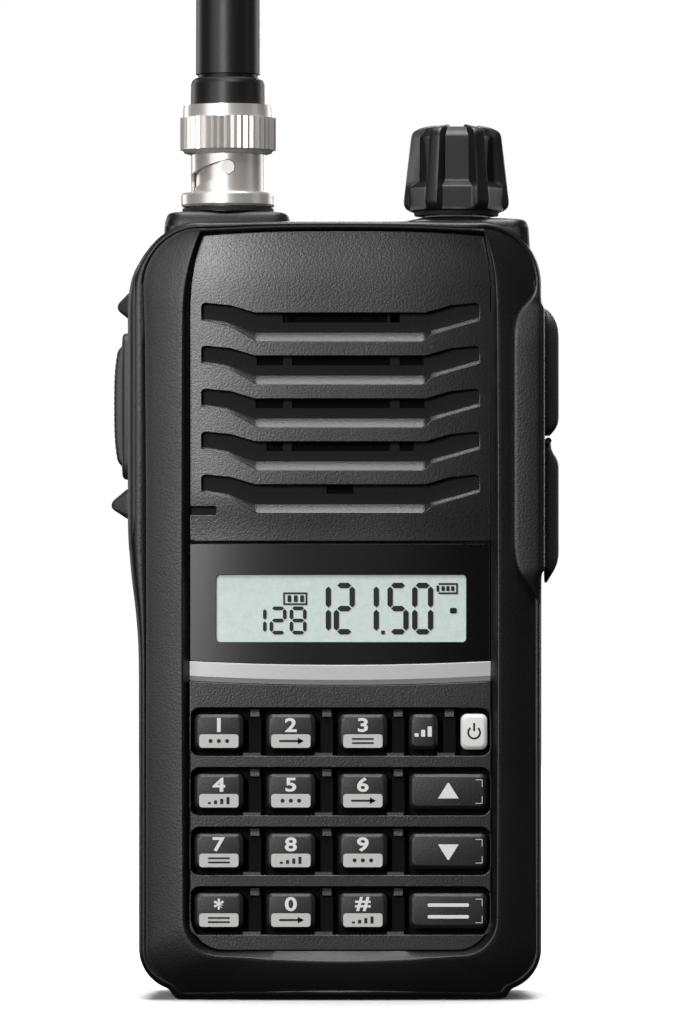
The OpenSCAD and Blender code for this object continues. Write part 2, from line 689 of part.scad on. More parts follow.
module battery_case() color("#2d2e30") difference() {
    pack_block();
    along_y(pack_y - 1, 13.65)
        polygon(outline(-pack_w / 2 + 1.8, pack_w / 2 - 1.8, 1.8, pack_h - 1.8, 5.2, 1));
    along_y(13, back_y + 1)
        polygon(rounded(-6.8, 6.8, latch_z[0] - 0.4, latch_z[1] + latch_travel + 0.4, 0.8));
    for (x = [-10, 10]) bar_y(x, 9, 2.2, 13, back_y + 1);
}

module battery_lid() color("#2d2e30") difference() {
    along_y(pack_y, 6.5) polygon(outline(-pack_w / 2 + 1.85, pack_w / 2 - 1.85, 1.85, pack_h - 1.85, 5.2, 1));
    for (x = [-6, 0, 6]) block([x - 1.8, pack_y - 1, 4.6], [x + 1.8, 7, 9.4]);
}

module battery_cells() color("#3a5f8a") {
    for (x = [-13.3, 13.3])
        translate([x, 10.1, 13.6]) linear_extrude(61.4) polygon(rounded(-12.6, 12.6, -3.3, 3.3, 3.1));
    block([-24, 7.2, 75.2], [24, 9, 77]);
}

module battery_terminals() color("#d0aa52") {
    for (x = [-6, 0, 6]) block([x - 1.7, pack_y, 4.8], [x + 1.7, 7, 9.2]);
    block([-12.6, 7, 4], [12.6, 8, 12]);
    for (x = [-10, 10]) bar_y(x, 9, 2.1, 8, back_y - 0.1);
}

module battery_latch() color("#232425") {
    along_y(13.7, 15.5) polygon(rounded(-6.5, 6.5, latch_z[0], latch_z[1], 0.7));
    along_y(13, 13.6) polygon(rounded(-7.7, 7.7, latch_z[0] - 0.6, latch_z[1] + latch_travel + 0.5, 0.7));
    along_y(13.5, 13.8) polygon(rounded(-6, 6, latch_z[0] + 0.3, latch_z[1] - 0.3, 0.7));
    for (i = [0:2]) block([-5, 15.4, latch_z[0] + 1.2 + 1.5 * i], [5, 15.8, latch_z[0] + 1.8 + 1.5 * i]);
}

// ---------------------------------------------------------------- belt clip

module clip_bracket() color("#2a2b2d") difference() {
    union() {
        along_y(back_y, clip_plate_y) polygon(rounded(-9, 9, 84, 108.5, 2));
        for (s = [-1, 1]) along_x(s < 0 ? -9 : 7.2, s < 0 ? -7.2 : 9)
            polygon([[back_y + 0.5, 90], [back_y + 0.5, 102], [19.4, 99.4], [21.8, 98.4],
                     [23, 96.8], [23, 95.2], [21.8, 93.6], [19.4, 92.6]]);
    }
    bar_x(clip_pivot[0], clip_pivot[1], clip_pin_r, -10, 10);
    for (z = clip_screws) bar_y(0, z, 1.25, back_y - 1, clip_plate_y + 1);
}

module clip_pin() color("#b7b9bc") {
    bar_x(clip_pivot[0], clip_pivot[1], clip_pin_r, -9, 9);
    for (x = [-9.6, 9]) bar_x(clip_pivot[0], clip_pivot[1], 1.9, x, x + 0.6);
}

module clip_spring() color("#9fa1a4")
    translate([-2.7, clip_pivot[0], clip_pivot[1]]) rotate([0, 90, 0])
        helix(1.47, 0.2, 0.4, 5, spring_turns, 16, 6);

// Middle line of the clip's leaf in Y and Z, from the thumb pad down to the flared tip: a smooth curve
// through these points.
clip_points = [[23.9, 110.5], [23.3, 103], [23.2, 96], [23.1, 84], [22.8, 64], [21.2, 50], [18.4, 43],
               [16.9, 39.5], [17.6, 36.5], [19.4, 34]];
clip_last = len(clip_points) - 1;
leaf_t = 1.7;
leaf_cuts = 4;
function curve_through(a, b, c, d, t) =
    b + (c - a) * t / 2 + (a - 2.5 * b + 2 * c - d / 2) * pow(t, 2)
    + (1.5 * b - a / 2 - 1.5 * c + d / 2) * pow(t, 3);
clip_line = concat(
    [for (i = [0:clip_last - 1], k = [0:leaf_cuts - 1])
        curve_through(clip_points[max(i - 1, 0)], clip_points[i], clip_points[i + 1],
                      clip_points[min(i + 2, clip_last)], k / leaf_cuts)],
    [clip_points[clip_last]]);
function unit(v) = v / norm(v);
function normal_at(i) = let (d = unit(clip_line[min(i + 1, len(clip_line) - 1)] - clip_line[max(i - 1, 0)]))
    [-d[1], d[0]];

module clip_leaf() {
    polygon(concat(
        [for (i = [0:len(clip_line) - 1]) clip_line[i] + normal_at(i) * leaf_t / 2],
        [for (i = [len(clip_line) - 1:-1:0]) clip_line[i] - normal_at(i) * leaf_t / 2]));
}

module clip_arm() color("#2a2b2d") difference() {
    union() {
        intersection() {
            along_x(-9, 9) clip_leaf();
            along_y(10, 30) polygon([
                [-4.5, 33], [4.5, 33], [7.5, 36], [8.8, 44], [9, 60], [9, 88], [6.9, 90.5], [6.9, 102],
                [9, 104], [9, 109], [8, 112], [-8, 112], [-9, 109], [-9, 104], [-6.9, 102], [-6.9, 90.5],
                [-9, 88], [-9, 60], [-8.8, 44], [-7.5, 36]]);
        }
        for (x = [-6.9, 3.2]) {
            bar_x(clip_pivot[0], clip_pivot[1], 2.4, x, x + 3.7);
            along_x(x, x + 3.7) polygon([[20.4, 94], [23, 93], [23, 99], [20.4, 98]]);
        }
    }
    bar_x(clip_pivot[0], clip_pivot[1], clip_pin_r + 0.04, -10, 10);
}

// ---------------------------------------------------------------- the parts

front_case();
face_plate();
speaker_mesh();
speaker_driver();
speaker_cone();
mic_capsule();
display_window();
lcd_glass();
lcd_backlight();
trim_strip();
key_mat();
logic_board();
main_board();
side_switches();
chassis();
case_seal();
side_pad();
encoder_body();
bnc_socket();
jack_sockets();
jack_cover_base();
radio_terminals();
screws();
clip_bracket();
clip_pin();
clip_spring();
volume_knob();
knob_shaft();
ptt_button();
side_key_upper();
side_key_lower();
jack_flap();
battery_case();
battery_lid();
battery_cells();
battery_terminals();
battery_latch();
clip_arm();
antenna_sheath();
antenna_coil();
antenna_collar();
bnc_plug();
bnc_sleeve();
for (k = KEYS) key_cap(k);
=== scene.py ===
"""Looks of the handheld aviation radio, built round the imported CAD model.

Shapes are written in millimetres and made in metres. -Y is the front, +X the side with the jacks.
"""
import json
import math

import bmesh
import bpy
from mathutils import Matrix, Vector


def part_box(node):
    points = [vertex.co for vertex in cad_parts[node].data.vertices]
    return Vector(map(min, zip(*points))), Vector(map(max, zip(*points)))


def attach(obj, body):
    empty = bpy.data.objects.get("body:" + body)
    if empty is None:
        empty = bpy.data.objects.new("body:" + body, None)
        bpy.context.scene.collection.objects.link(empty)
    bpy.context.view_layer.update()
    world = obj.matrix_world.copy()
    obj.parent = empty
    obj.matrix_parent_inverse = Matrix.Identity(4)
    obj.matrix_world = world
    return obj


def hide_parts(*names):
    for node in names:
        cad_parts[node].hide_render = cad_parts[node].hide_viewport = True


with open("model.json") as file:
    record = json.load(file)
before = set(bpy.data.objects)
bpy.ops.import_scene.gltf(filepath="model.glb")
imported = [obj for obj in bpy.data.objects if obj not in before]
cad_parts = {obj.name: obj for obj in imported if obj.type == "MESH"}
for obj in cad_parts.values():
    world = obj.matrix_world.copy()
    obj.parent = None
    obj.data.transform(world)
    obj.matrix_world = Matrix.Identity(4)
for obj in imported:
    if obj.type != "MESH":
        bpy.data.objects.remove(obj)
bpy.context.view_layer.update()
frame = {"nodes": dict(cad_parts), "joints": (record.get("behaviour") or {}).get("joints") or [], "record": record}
MM = 0.001


# ------------------------------------------------------------------ places taken from the CAD

def span(node):
    """Lowest and highest corner of a CAD node, in millimetres."""
    low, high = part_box(node)
    return [v / MM for v in low], [v / MM for v in high]


JOINTS = {j["name"]: j for j in frame["joints"]}
MOUNTS = {m["name"]: m for m in frame["record"]["mounts"]}
seal_lo, seal_hi = span("case_seal")
HALF_W = (seal_hi[0] - seal_lo[0]) / 2 + 0.35
FRONT = span("front_case")[0][1] + 0.25       # crown of the rails; the lobe stands 0.25 further out
CASE_BACK = seal_lo[1]
CASE_TOP = 113.2
PLATE_Y = span("display_window")[0][1] - 0.05
ANT_X, ANT_Y = [v / MM for v in JOINTS["sleeve_turn"]["pos_m"][:2]]
KNOB_X, KNOB_Y = [v / MM for v in JOINTS["knob_spin"]["pos_m"][:2]]
SIDE_Y = MOUNTS["speaker_jack"]["pos_m"][1] / MM


# ------------------------------------------------------------------ mesh tools

def add_object(name, data):
    obj = bpy.data.objects.new(name, data)
    bpy.context.scene.collection.objects.link(obj)
    return obj


def mesh_of(obj):
    """An object's mesh with its modifiers applied, or the filled mesh of a curve."""
    graph = bpy.context.evaluated_depsgraph_get()
    return bpy.data.meshes.new_from_object(obj.evaluated_get(graph))


def mesh_of_curve(curve):
    """The filled mesh of a curve or a text, which is removed."""
    holder = add_object(curve.name, curve)
    mesh = mesh_of(holder)
    bpy.data.objects.remove(holder)
    bpy.data.curves.remove(curve)
    return mesh


def shade(mesh, angle):
    """Smooth shading, with edges sharper than angle kept sharp."""
    mesh.shade_smooth()
    mesh.set_sharp_from_angle(angle=math.radians(angle))


def add_mesh(name, verts, faces, body, slot, mat=None, angle=32.0):
    """A piece from vertices in millimetres, in its slot's look unless mat is given."""
    mesh = bpy.data.meshes.new(name)
    mesh.from_pydata([Vector(v) * MM for v in verts], [], faces)
    bm = bmesh.new()
    bm.from_mesh(mesh)
    bmesh.ops.remove_doubles(bm, verts=bm.verts, dist=1e-7)
    bmesh.ops.recalc_face_normals(bm, faces=bm.faces)
    bm.to_mesh(mesh)
    bm.free()
    mesh.validate()
    obj = add_object(name, mesh)
    mesh.materials.append(mat or look_of(slot))
    shade(mesh, angle)
    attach(obj, body)
    return obj


class Shape:
    """Collects closed solids into one piece; it may start from the rings of one loft."""

    def __init__(self, rings=None, closed=False):
        self.verts, self.faces = [], []
        if rings:
            self.loft(rings, closed)

    def add(self, verts, faces):
        base = len(self.verts)
        self.verts += [tuple(v) for v in verts]
        self.faces += [[base + i for i in f] for f in faces]

    def loft(self, rings, closed=False):
        """Skins rings of equal length. Open lofts are capped; closed ones run round to the first ring."""
        n, m = len(rings[0]), len(rings)
        faces = []
        for i in range(m if closed else m - 1):
            a, b = i * n, (i + 1) % m * n
            faces += [(a + j, a + (j + 1) % n, b + (j + 1) % n, b + j) for j in range(n)]
        if not closed:
            faces += [list(range(n))[::-1], [(m - 1) * n + j for j in range(n)]]
        self.add([p for ring in rings for p in ring], faces)

    def box(self, low, high):
        x0, y0, z0 = low
        x1, y1, z1 = high
        self.loft([[(x0, y0, z), (x1, y0, z), (x1, y1, z), (x0, y1, z)] for z in (z0, z1)])

    def prism(self, outline, xs):
        """Draws an outline of (y, z) pairs along X, with a ring at each of xs."""
        self.loft([[(x, y, z) for y, z in outline] for x in xs])

    def turned(self, profile, centre, steps):
        """Turns (radius, z) pairs about a vertical axis; the profile is closed."""
        rings = []
        for s in range(steps):
            a = 2 * math.pi * s / steps
            rings.append([(centre[0] + r * math.cos(a), centre[1] + r * math.sin(a), z)
                          for r, z in profile])
        self.loft(rings, closed=True)

    def make(self, name, body, slot, mat=None, **how):
        return add_mesh(name, self.verts, self.faces, body, slot, mat, **how)


def arc(cx, cy, r, a0, a1, n):
    """n + 1 points on a circle from a0 to a1 degrees."""
    return [(cx + r * math.cos(math.radians(a0 + (a1 - a0) * i / n)),
             cy + r * math.sin(math.radians(a0 + (a1 - a0) * i / n))) for i in range(n + 1)]


def circle(cx, cy, r, n):
    angles = [2 * math.pi * i / n for i in range(n)]
    return [(cx + r * math.cos(a), cy + r * math.sin(a)) for a in angles]


def rounded(x0, x1, z0, z1, r, n=6, r_top=None):
    """Rounded rectangle as points, counter-clockwise from the right side's upper corner."""
    t = r if r_top is None else r_top
    return (arc(x1 - t, z1 - t, t, 0, 90, n) + arc(x0 + t, z1 - t, t, 90, 180, n)
            + arc(x0 + r, z0 + r, r, 180, 270, n) + arc(x1 - r, z0 + r, r, 270, 360, n))


def table(points, x):
    """Straight-line interpolation in a list of (x, value)."""
    if x <= points[0][0]:
        return points[0][1]
    for (xa, ya), (xb, yb) in zip(points, points[1:]):
        if x <= xb:
            return ya + (yb - ya) * (x - xa) / (xb - xa)
    return points[-1][1]


def smooth(a, b, x):
    """Rises softly from 0 at a to 1 at b."""
    t = min(1.0, max(0.0, (x - a) / (b - a)))
    return t * t * (3 - 2 * t)


def flat_shape(name, outlines, y_front, y_back, edge):
    """A plate with holes in the X-Z plane and edges rounded by edge, in millimetres: mesh and bmesh."""
    curve = bpy.data.curves.new(name, "CURVE")
    curve.dimensions = "2D"
    curve.fill_mode = "BOTH"
    for points in outlines:
        spline = curve.splines.new("POLY")
        spline.points.add(len(points) - 1)
        for p, (x, z) in zip(spline.points, points):
            p.co = (x, z, 0, 1)
        spline.use_cyclic_u = True
    curve.extrude = (y_back - y_front) / 2 - edge
    curve.bevel_depth = edge
    curve.bevel_resolution = 2
    curve.offset = -edge
    mesh = mesh_of_curve(curve)
    for v in mesh.vertices:
        x, z, d = v.co
        v.co = (x, (y_front + y_back) / 2 - d, z)
    bm = bmesh.new()
    bm.from_mesh(mesh)
    bmesh.ops.remove_doubles(bm, verts=bm.verts, dist=1e-4)
    return mesh, bm


def strips(bm, normal, cuts):
    """Cuts a mesh by planes square to normal, so that it can be bent."""
    for c in cuts:
        bmesh.ops.bisect_plane(bm, geom=bm.verts[:] + bm.edges[:] + bm.faces[:], dist=1e-5,
                               plane_co=normal * c, plane_no=normal)


def crown(x, z):
    """How far the panel's face falls back at x, z: it bows to both sides, at its top and over the window."""
    over = 0.42 * smooth(76.5, 66.0, z) ** 1.5 if z > 66.75 else 0.0
    return 1.0 * abs(x / 22) ** 3 + 0.5 * smooth(101, 113, z) ** 2 + over


def plate_piece(name, outlines, y_front, y_back, edge, slot, cuts_x, cuts_z=(), bend=crown):
    """A bowed plate; the normals of its front face are those of the bow itself."""
    mesh, bm = flat_shape(name, outlines, y_front, y_back, edge)
    strips(bm, Vector((1, 0, 0)), cuts_x)
    strips(bm, Vector((0, 0, 1)), cuts_z)
    bmesh.ops.recalc_face_normals(bm, faces=bm.faces)
    bm.normal_update()
    front = [f.normal.y < -0.99 for f in bm.faces]
    slopes, step = [], 0.01
    for v in bm.verts:
        x, z = v.co.x, v.co.z
        slopes.append(((bend(x + step, z) - bend(x - step, z)) / (2 * step),
                       (bend(x, z + step) - bend(x, z - step)) / (2 * step)))
        v.co.y += bend(x, z)
        v.co *= MM
    bm.to_mesh(mesh)
    bm.free()
    obj = add_object(name, mesh)
    mesh.materials.append(look_of(slot))
    shade(mesh, 40)
    normals = [Vector(c.vector) for c in mesh.corner_normals]
    for face, is_front in zip(mesh.polygons, front):
        if is_front:
            for i in face.loop_indices:
                dx, dz = slopes[mesh.loops[i].vertex_index]
                normals[i] = Vector((dx, -1, dz)).normalized()
    mesh.normals_split_custom_set(normals)
    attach(obj, "root")
    return obj


# ------------------------------------------------------------------ materials

def finish_of(name, base, rough, metal=0.0, grain=2200.0, bump=0.2, tone=0.15, broad=70.0,
              rough_span=0.1, specular=0.5, stretch=(1, 1, 1), relief=0.00006):
    """A moulded or plated finish: fine grain in the bump, slow change in colour and roughness."""
    mat = bpy.data.materials.new(name)
    mat.use_nodes = True
    tree = mat.node_tree
    new, link = tree.nodes.new, tree.links.new
    shader = tree.nodes["Principled BSDF"]
    shader.inputs["Metallic"].default_value = metal
    shader.inputs["Specular IOR Level"].default_value = specular
    place = new("ShaderNodeMapping")
    place.inputs["Scale"].default_value = stretch
    link(new("ShaderNodeTexCoord").outputs["Object"], place.inputs["Vector"])
    fine, slow = new("ShaderNodeTexNoise"), new("ShaderNodeTexNoise")
    for node, scale, detail in ((fine, grain, 3.0), (slow, broad, 4.0)):
        node.inputs["Scale"].default_value = scale
        node.inputs["Detail"].default_value = detail
        link(place.outputs["Vector"], node.inputs["Vector"])
    # the mean of the two noises
    half, both = new("ShaderNodeMath"), new("ShaderNodeMath")
    for node, kind, noise in ((half, "MULTIPLY", slow), (both, "MULTIPLY_ADD", fine)):
        node.operation = kind
        node.inputs[1].default_value = 0.5
        link(noise.outputs["Fac"], node.inputs[0])
    link(half.outputs[0], both.inputs[2])
    mix = new("ShaderNodeMix")
    mix.data_type = "RGBA"
    mix.inputs[6].default_value = [c * (1 - tone) for c in base] + [1]
    mix.inputs[7].default_value = [min(1, c * (1 + tone)) for c in base] + [1]
    link(both.outputs[0], mix.inputs[0])
    link(mix.outputs[2], shader.inputs["Base Color"])
    spread = new("ShaderNodeMapRange")
    spread.inputs["To Min"].default_value = max(0.02, rough - rough_span)
    spread.inputs["To Max"].default_value = min(1.0, rough + rough_span)
    link(both.outputs[0], spread.inputs["Value"])
    link(spread.outputs["Result"], shader.inputs["Roughness"])
    lift = new("ShaderNodeBump")
    lift.inputs["Strength"].default_value = bump
    lift.inputs["Distance"].default_value = relief
    link(fine.outputs["Fac"], lift.inputs["Height"])
    link(lift.outputs["Normal"], shader.inputs["Normal"])
    return mat


def grey(v):
    return (v, v, v)


# base colour, roughness, and what differs from a plain moulding; grain and broad are noise scales per metre
LOOKS = {
    "case": ((0.0032, 0.0032, 0.0033), 0.41, dict(grain=3300, bump=0.6, tone=0.25, specular=0.54)),
    "panel": ((0.0055, 0.0053, 0.0057), 0.34,
              dict(grain=3400, bump=0.55, tone=0.25, specular=0.80, relief=0.00005)),
    "louvre": (grey(0.0065), 0.5, dict(grain=2600, bump=0.3, specular=0.16)),
    "mesh": (grey(0.0015), 0.6, dict(grain=5000, bump=0.5, specular=0.05)),
    "window": ((0.0015, 0.0015, 0.002), 0.26, dict(grain=900, bump=0.01, rough_span=0.02)),
    "lcd": ((0.68, 0.78, 0.74), 0.5, dict(grain=3000, bump=0.03, tone=0.22, broad=900, specular=0.2)),
    "shade": ((0.46, 0.50, 0.45), 0.5, dict(grain=3000, bump=0.02, specular=0.2)),
    "segment": ((0.012, 0.012, 0.014), 0.5, dict(grain=3000, bump=0.02, specular=0.3)),
    "silver": ((0.55, 0.55, 0.555), 0.38,
               dict(metal=0.1, grain=4200, bump=0.1, tone=0.05, stretch=(0.15, 1, 1))),
    "key": ((0.0075, 0.0075, 0.008), 0.42, dict(grain=3400, bump=0.3, tone=0.2, specular=0.58)),
    "print": ((0.80, 0.80, 0.79), 0.5, dict(grain=3000, bump=0.05, tone=0.04, specular=0.3)),
    "label": ((0.58, 0.58, 0.57), 0.5, dict(grain=3000, bump=0.05, tone=0.05)),
    "mat": (grey(0.0022), 0.6, dict(grain=2500, bump=0.2, specular=0.10)),
    "grip": ((0.016, 0.016, 0.017), 0.50, dict(grain=3300, bump=0.5, tone=0.22, specular=0.65)),
    "cover": ((0.034, 0.034, 0.035), 0.55, dict(grain=4200, bump=0.4, tone=0.2, relief=0.00004)),
    "nickel": ((0.76, 0.72, 0.685), 0.32,
               dict(metal=0.6, grain=1600, bump=0.03, tone=0.05, stretch=(1, 1, 0.2), rough_span=0.04)),
    "steel": ((0.55, 0.55, 0.56), 0.33, dict(metal=1.0, grain=2600, bump=0.1, stretch=(1, 1, 0.2))),
    "screw": ((0.09, 0.09, 0.095), 0.38, dict(metal=1.0, grain=2600, bump=0.15)),
    "gold": ((0.80, 0.58, 0.27), 0.28, dict(metal=1.0, grain=2600, bump=0.1)),
    "knob": ((0.0055, 0.0055, 0.006), 0.42,
             dict(grain=4400, bump=0.25, tone=0.2, specular=0.42, relief=0.00004)),
    "antenna": ((0.0085, 0.0085, 0.0098), 0.38,
                dict(grain=2800, bump=0.12, tone=0.2, stretch=(1, 1, 0.35), specular=0.42)),
    "pack": ((0.010, 0.0101, 0.0104), 0.48,
             dict(grain=3800, bump=0.5, tone=0.22, specular=0.6, relief=0.00005)),
    "clip": ((0.010, 0.010, 0.0105), 0.44, dict(grain=3600, bump=0.3, tone=0.18, specular=0.6)),
    # the seal finish also stands in as painted shade on the knob's foot, under its skirt
    "seal": (grey(0.008), 0.7, dict(grain=2600, bump=0.3)),
    "board": ((0.012, 0.10, 0.05), 0.4, dict(grain=900)),
    "speaker": (grey(0.10), 0.5, dict(metal=1.0, grain=2000, bump=0.1)),
    "paper": ((0.012, 0.011, 0.010), 0.8, dict(grain=1500, bump=0.5)),
    "diffuser": ((0.75, 0.77, 0.72), 0.3, dict(grain=1800, bump=0.05)),
    "socket": (grey(0.014), 0.45, {}),
    "cell": ((0.05, 0.12, 0.28), 0.35, dict(grain=900, bump=0.1)),
}
M = {name: finish_of(name + "_finish", base, rough, **more) for name, (base, rough, more) in LOOKS.items()}
# slots whose first word isn't the name of their look
SLOT_LOOKS = {"key_rubber": "mat", "key_white": "print", "black_screw": "screw"}


def look_of(slot):
    return M[SLOT_LOOKS.get(slot, slot.split("_")[0])]


# ------------------------------------------------------------------ front case

OPEN_HALF, OPEN_LOW, OPEN_TOP = 21.95, 7.2, 111.95
SIDE_N, CORNER_N, TOP_N = 92, 16, 48
# (z, how far the grip's side stands out)
BULGE = [(47, 0.0), (50, 0.03), (53.2, 0.15), (57.5, 0.55), (61.8, 1.1), (65.5, 1.42), (68, 1.5), (100, 1.5),
         (102.5, 1.4), (104.5, 1.1), (106.5, 0.65), (108, 0.33), (110, 0.07), (111.5, 0.0)]


def bulge(z):
    """How far the grip's side stands out beyond the case on the left."""
    return sum(table(BULGE, z + 0.6 * k) for k in (-2, -1, 0, 1, 2)) / 5


def lean(z, side):
    """Half width of the panel's opening at height z; it leans in towards its top, more so on the left."""
    start, amount, power = (100.0, 1.9, 2.0) if side < 0 else (103.5, 1.15, 1.8)
    return OPEN_HALF - amount * max(0.0, (z - start) / (OPEN_TOP - start)) ** power


def line(a, b, n):
    """n points from a towards b, without b itself."""
    return [(a[0] + (b[0] - a[0]) * i / n, a[1] + (b[1] - a[1]) * i / n) for i in range(n)]


def case_stations():
    """The opening's and the case's outline, point for point: inner, outer, normal, averaged normal."""
    high_r, low_r, open_r, foot = 9.0, 6.2, 5, 1.2
    side_top, arch = 100.0, 0.7
    top_z = OPEN_TOP - arch
    top_l, top_r = -lean(top_z, -1), lean(top_z, 1)
    rise = [side_top + (top_z - side_top) * i / CORNER_N for i in range(CORNER_N)]
    top = [(top_r + (top_l - top_r) * i / TOP_N, OPEN_TOP - arch * abs(2 * i / TOP_N - 1) ** 2.6)
           for i in range(TOP_N)]
    cx, cz = OPEN_HALF - open_r, OPEN_LOW + open_r
    inner = (line((OPEN_HALF, cz), (OPEN_HALF, side_top), SIDE_N) + [(lean(z, 1), z) for z in rise] + top
             + [(-lean(z, -1), z) for z in [top_z] + rise[:0:-1]]
             + line((-OPEN_HALF, side_top), (-OPEN_HALF, cz), SIDE_N)
             + arc(-cx, cz, open_r, 180, 270, CORNER_N)[:-1] + line((-cx, OPEN_LOW), (cx, OPEN_LOW), TOP_N)
             + arc(cx, cz, open_r, 270, 360, CORNER_N)[:-1])
    hx, hz, lx, lz = HALF_W - high_r, CASE_TOP - high_r, HALF_W - low_r, foot + low_r
    heel = [(-24.8, 1.25), (-24.45, 0.62), (-24.05, 0.2)]
    outer = (line((HALF_W, lz), (HALF_W, hz), SIDE_N) + arc(hx, hz, high_r, 0, 90, CORNER_N)[:-1]
             + line((hx, CASE_TOP), (-hx, CASE_TOP), TOP_N) + arc(-hx, hz, high_r, 90, 180, CORNER_N)[:-1]
             + line((-HALF_W, hz), (-HALF_W, lz), SIDE_N) + arc(-lx, lz, low_r, 180, 250, CORNER_N - 1)
             + heel + line((-23.5, 0), (23.5, 0), TOP_N - 6) + [(-x, z) for x, z in heel[::-1]]
             + arc(lx, lz, low_r, 290, 360, CORNER_N)[:-1])
    outer = [(x - bulge(z), z) if x < -14 and z > 40 else (x, z) for x, z in outer]
    normals = []
    for i in range(len(outer)):
        a, b = outer[i - 1], outer[(i + 1) % len(outer)]
        t = Vector((b[0] - a[0], b[1] - a[1])).normalized()
        normals.append(Vector((t.y, -t.x)))
    reach = range(-7, 8)
    soft = [sum((normals[(i + k) % len(normals)] for k in reach), Vector((0, 0))) / len(reach)
            for i in range(len(normals))]
    return list(zip(inner, outer, normals, soft))


# the rounded band round the outside: share of its width from the outer edge, depth behind the rail's edge
BAND = [(0.86, -0.07), (0.72, -0.12), (0.55, -0.1), (0.40, 0.03), (0.28, 0.26), (0.17, 0.6), (0.09, 1.0),
        (0.035, 1.5), (0.0, 2.2)]


def measures(station):
    """Across the rail at one station: whole width, chamfer, band, run between them, depth at the band."""
    (ix, iz), (ox, oz), _, (nx, nz) = station
    w = math.hypot(ox - ix, oz - iz)
    up, down, left, right = max(nz, 0) ** 2, max(-nz, 0) ** 2, max(-nx, 0) ** 2, max(nx, 0) ** 2
    chamfer = 0.95 * math.sqrt(left + right) * (1 - down) + 0.22 * up + 1.45 * down
    rim = 1.25 * up + 1.4 * down + 0.95 * right + (1.15 + bulge(oz)) * left
    rim = min(rim, w - chamfer - 0.32)
    run = w - chamfer - rim
    return w, chamfer, rim, run, FRONT + 0.02 + 0.30 * run


def cut(obj, cutter, angle=38):
    """Takes a shape out of a piece."""
    tool = cutter.make("cutter", "root", "case_plastic")
    mod = obj.modifiers.new("opening", "BOOLEAN")
    mod.object = tool
    mod.solver = "EXACT"
    mesh = mesh_of(obj)
    obj.modifiers.clear()
    obj.data = mesh
    bpy.data.objects.remove(tool)
    shade(mesh, angle)


def jack_opening(obj):
    """The window in the side wall that the two jacks sit behind."""
    cutter = Shape()
    cutter.box((26, SIDE_Y - 4, 62.7), (31, SIDE_Y + 4, 79))
    cut(obj, cutter)


def case_shell():
    """A ring of points across the rail at each station: opening, chamfer, rail, band and wall."""
    back, wall = CASE_BACK, 1.8
    rings = []
    for station in case_stations():
        (ix, iz), (ox, oz), (nx, nz), (sx, sz) = station
        w, chamfer, rim, run, end = measures(station)
        ux, uz = (ox - ix) / w, (oz - iz) / w
        drop = 1.75 - 0.62 * max(-sz, 0) ** 2 - 0.4 * max(sx, 0) ** 2
        profile = [(0, FRONT + 2.7), (0, FRONT + drop + 0.2), (0.04, FRONT + drop),
                   (chamfer - 0.16, FRONT + 0.2), (chamfer - 0.04, FRONT + 0.06),
                   (chamfer + 0.06, FRONT + 0.01), (chamfer + 0.16, FRONT)]
        profile += [(chamfer + 0.16 + (run - 0.3) * t, FRONT + 0.02 + 0.30 * run * (0.55 * t + 0.45 * t * t))
                    for t in (0.1, 0.2, 0.35, 0.5, 0.65, 0.8, 0.92)]
        deep = min(0.07, 0.1 * run)
        profile += [(w - rim - 0.12, end + 0.6 * deep), (w - rim, end + deep),
                    (w - rim + 0.08, end + 0.4 * deep)]
        ring = [(ix + ux * d, y, iz + uz * d) for d, y in profile]
        under = 0.5 * max(-sz, 0) ** 2
        inside = min(wall, 0.9 * w)
        around = [(rim * s, end + d + under * (0.9 - s)) for s, d in BAND]
        around += [(0, back - 0.25), (0.08, back - 0.07), (0.25, back), (inside, back), (inside, FRONT + 3.0)]
        ring += [(ox - nx * e, y, oz - nz * e) for e, y in around]
        rings.append(ring)
    case = Shape(rings, closed=True)
    obj = case.make("front_case_shell", "root", "case_plastic", angle=38)
    jack_opening(obj)
    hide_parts("front_case")


# the bosses under the antenna and the knob: z, left, right and inset in y at each level
ANTENNA_BOSS = [(112.4, -25.55, -7.0, 0.1), (113.2, -25.5, -7.2, 0.15), (114.1, -25.2, -7.5, 0.3),
                (114.45, -24.9, -7.8, 0.5), (114.66, -24.3, -8.4, 0.9), (114.8, -23.2, -9.6, 1.7),
                (114.88, -21.5, -11.4, 2.8)]
KNOB_BOSS = [(112.3, 7.7, 27.45, 0.1), (112.7, 7.8, 27.35, 0.15), (113.05, 8.3, 27.25, 0.25),
             (113.35, 9.3, 27.1, 0.45), (113.56, 10.4, 26.95, 0.8), (113.7, 11.6, 26.7, 1.4),
             (113.78, 13.0, 26.2, 2.4)]
# the shoulders outside the case's rounded corners: left and right, at the foot and at the top
SHOULDER_FOOT = 107
ANTENNA_SHOULDER = (-25.8, -22.4), (-25.55, -22.4)
KNOB_SHOULDER = (22.4, 27.8), (22.4, 27.45)


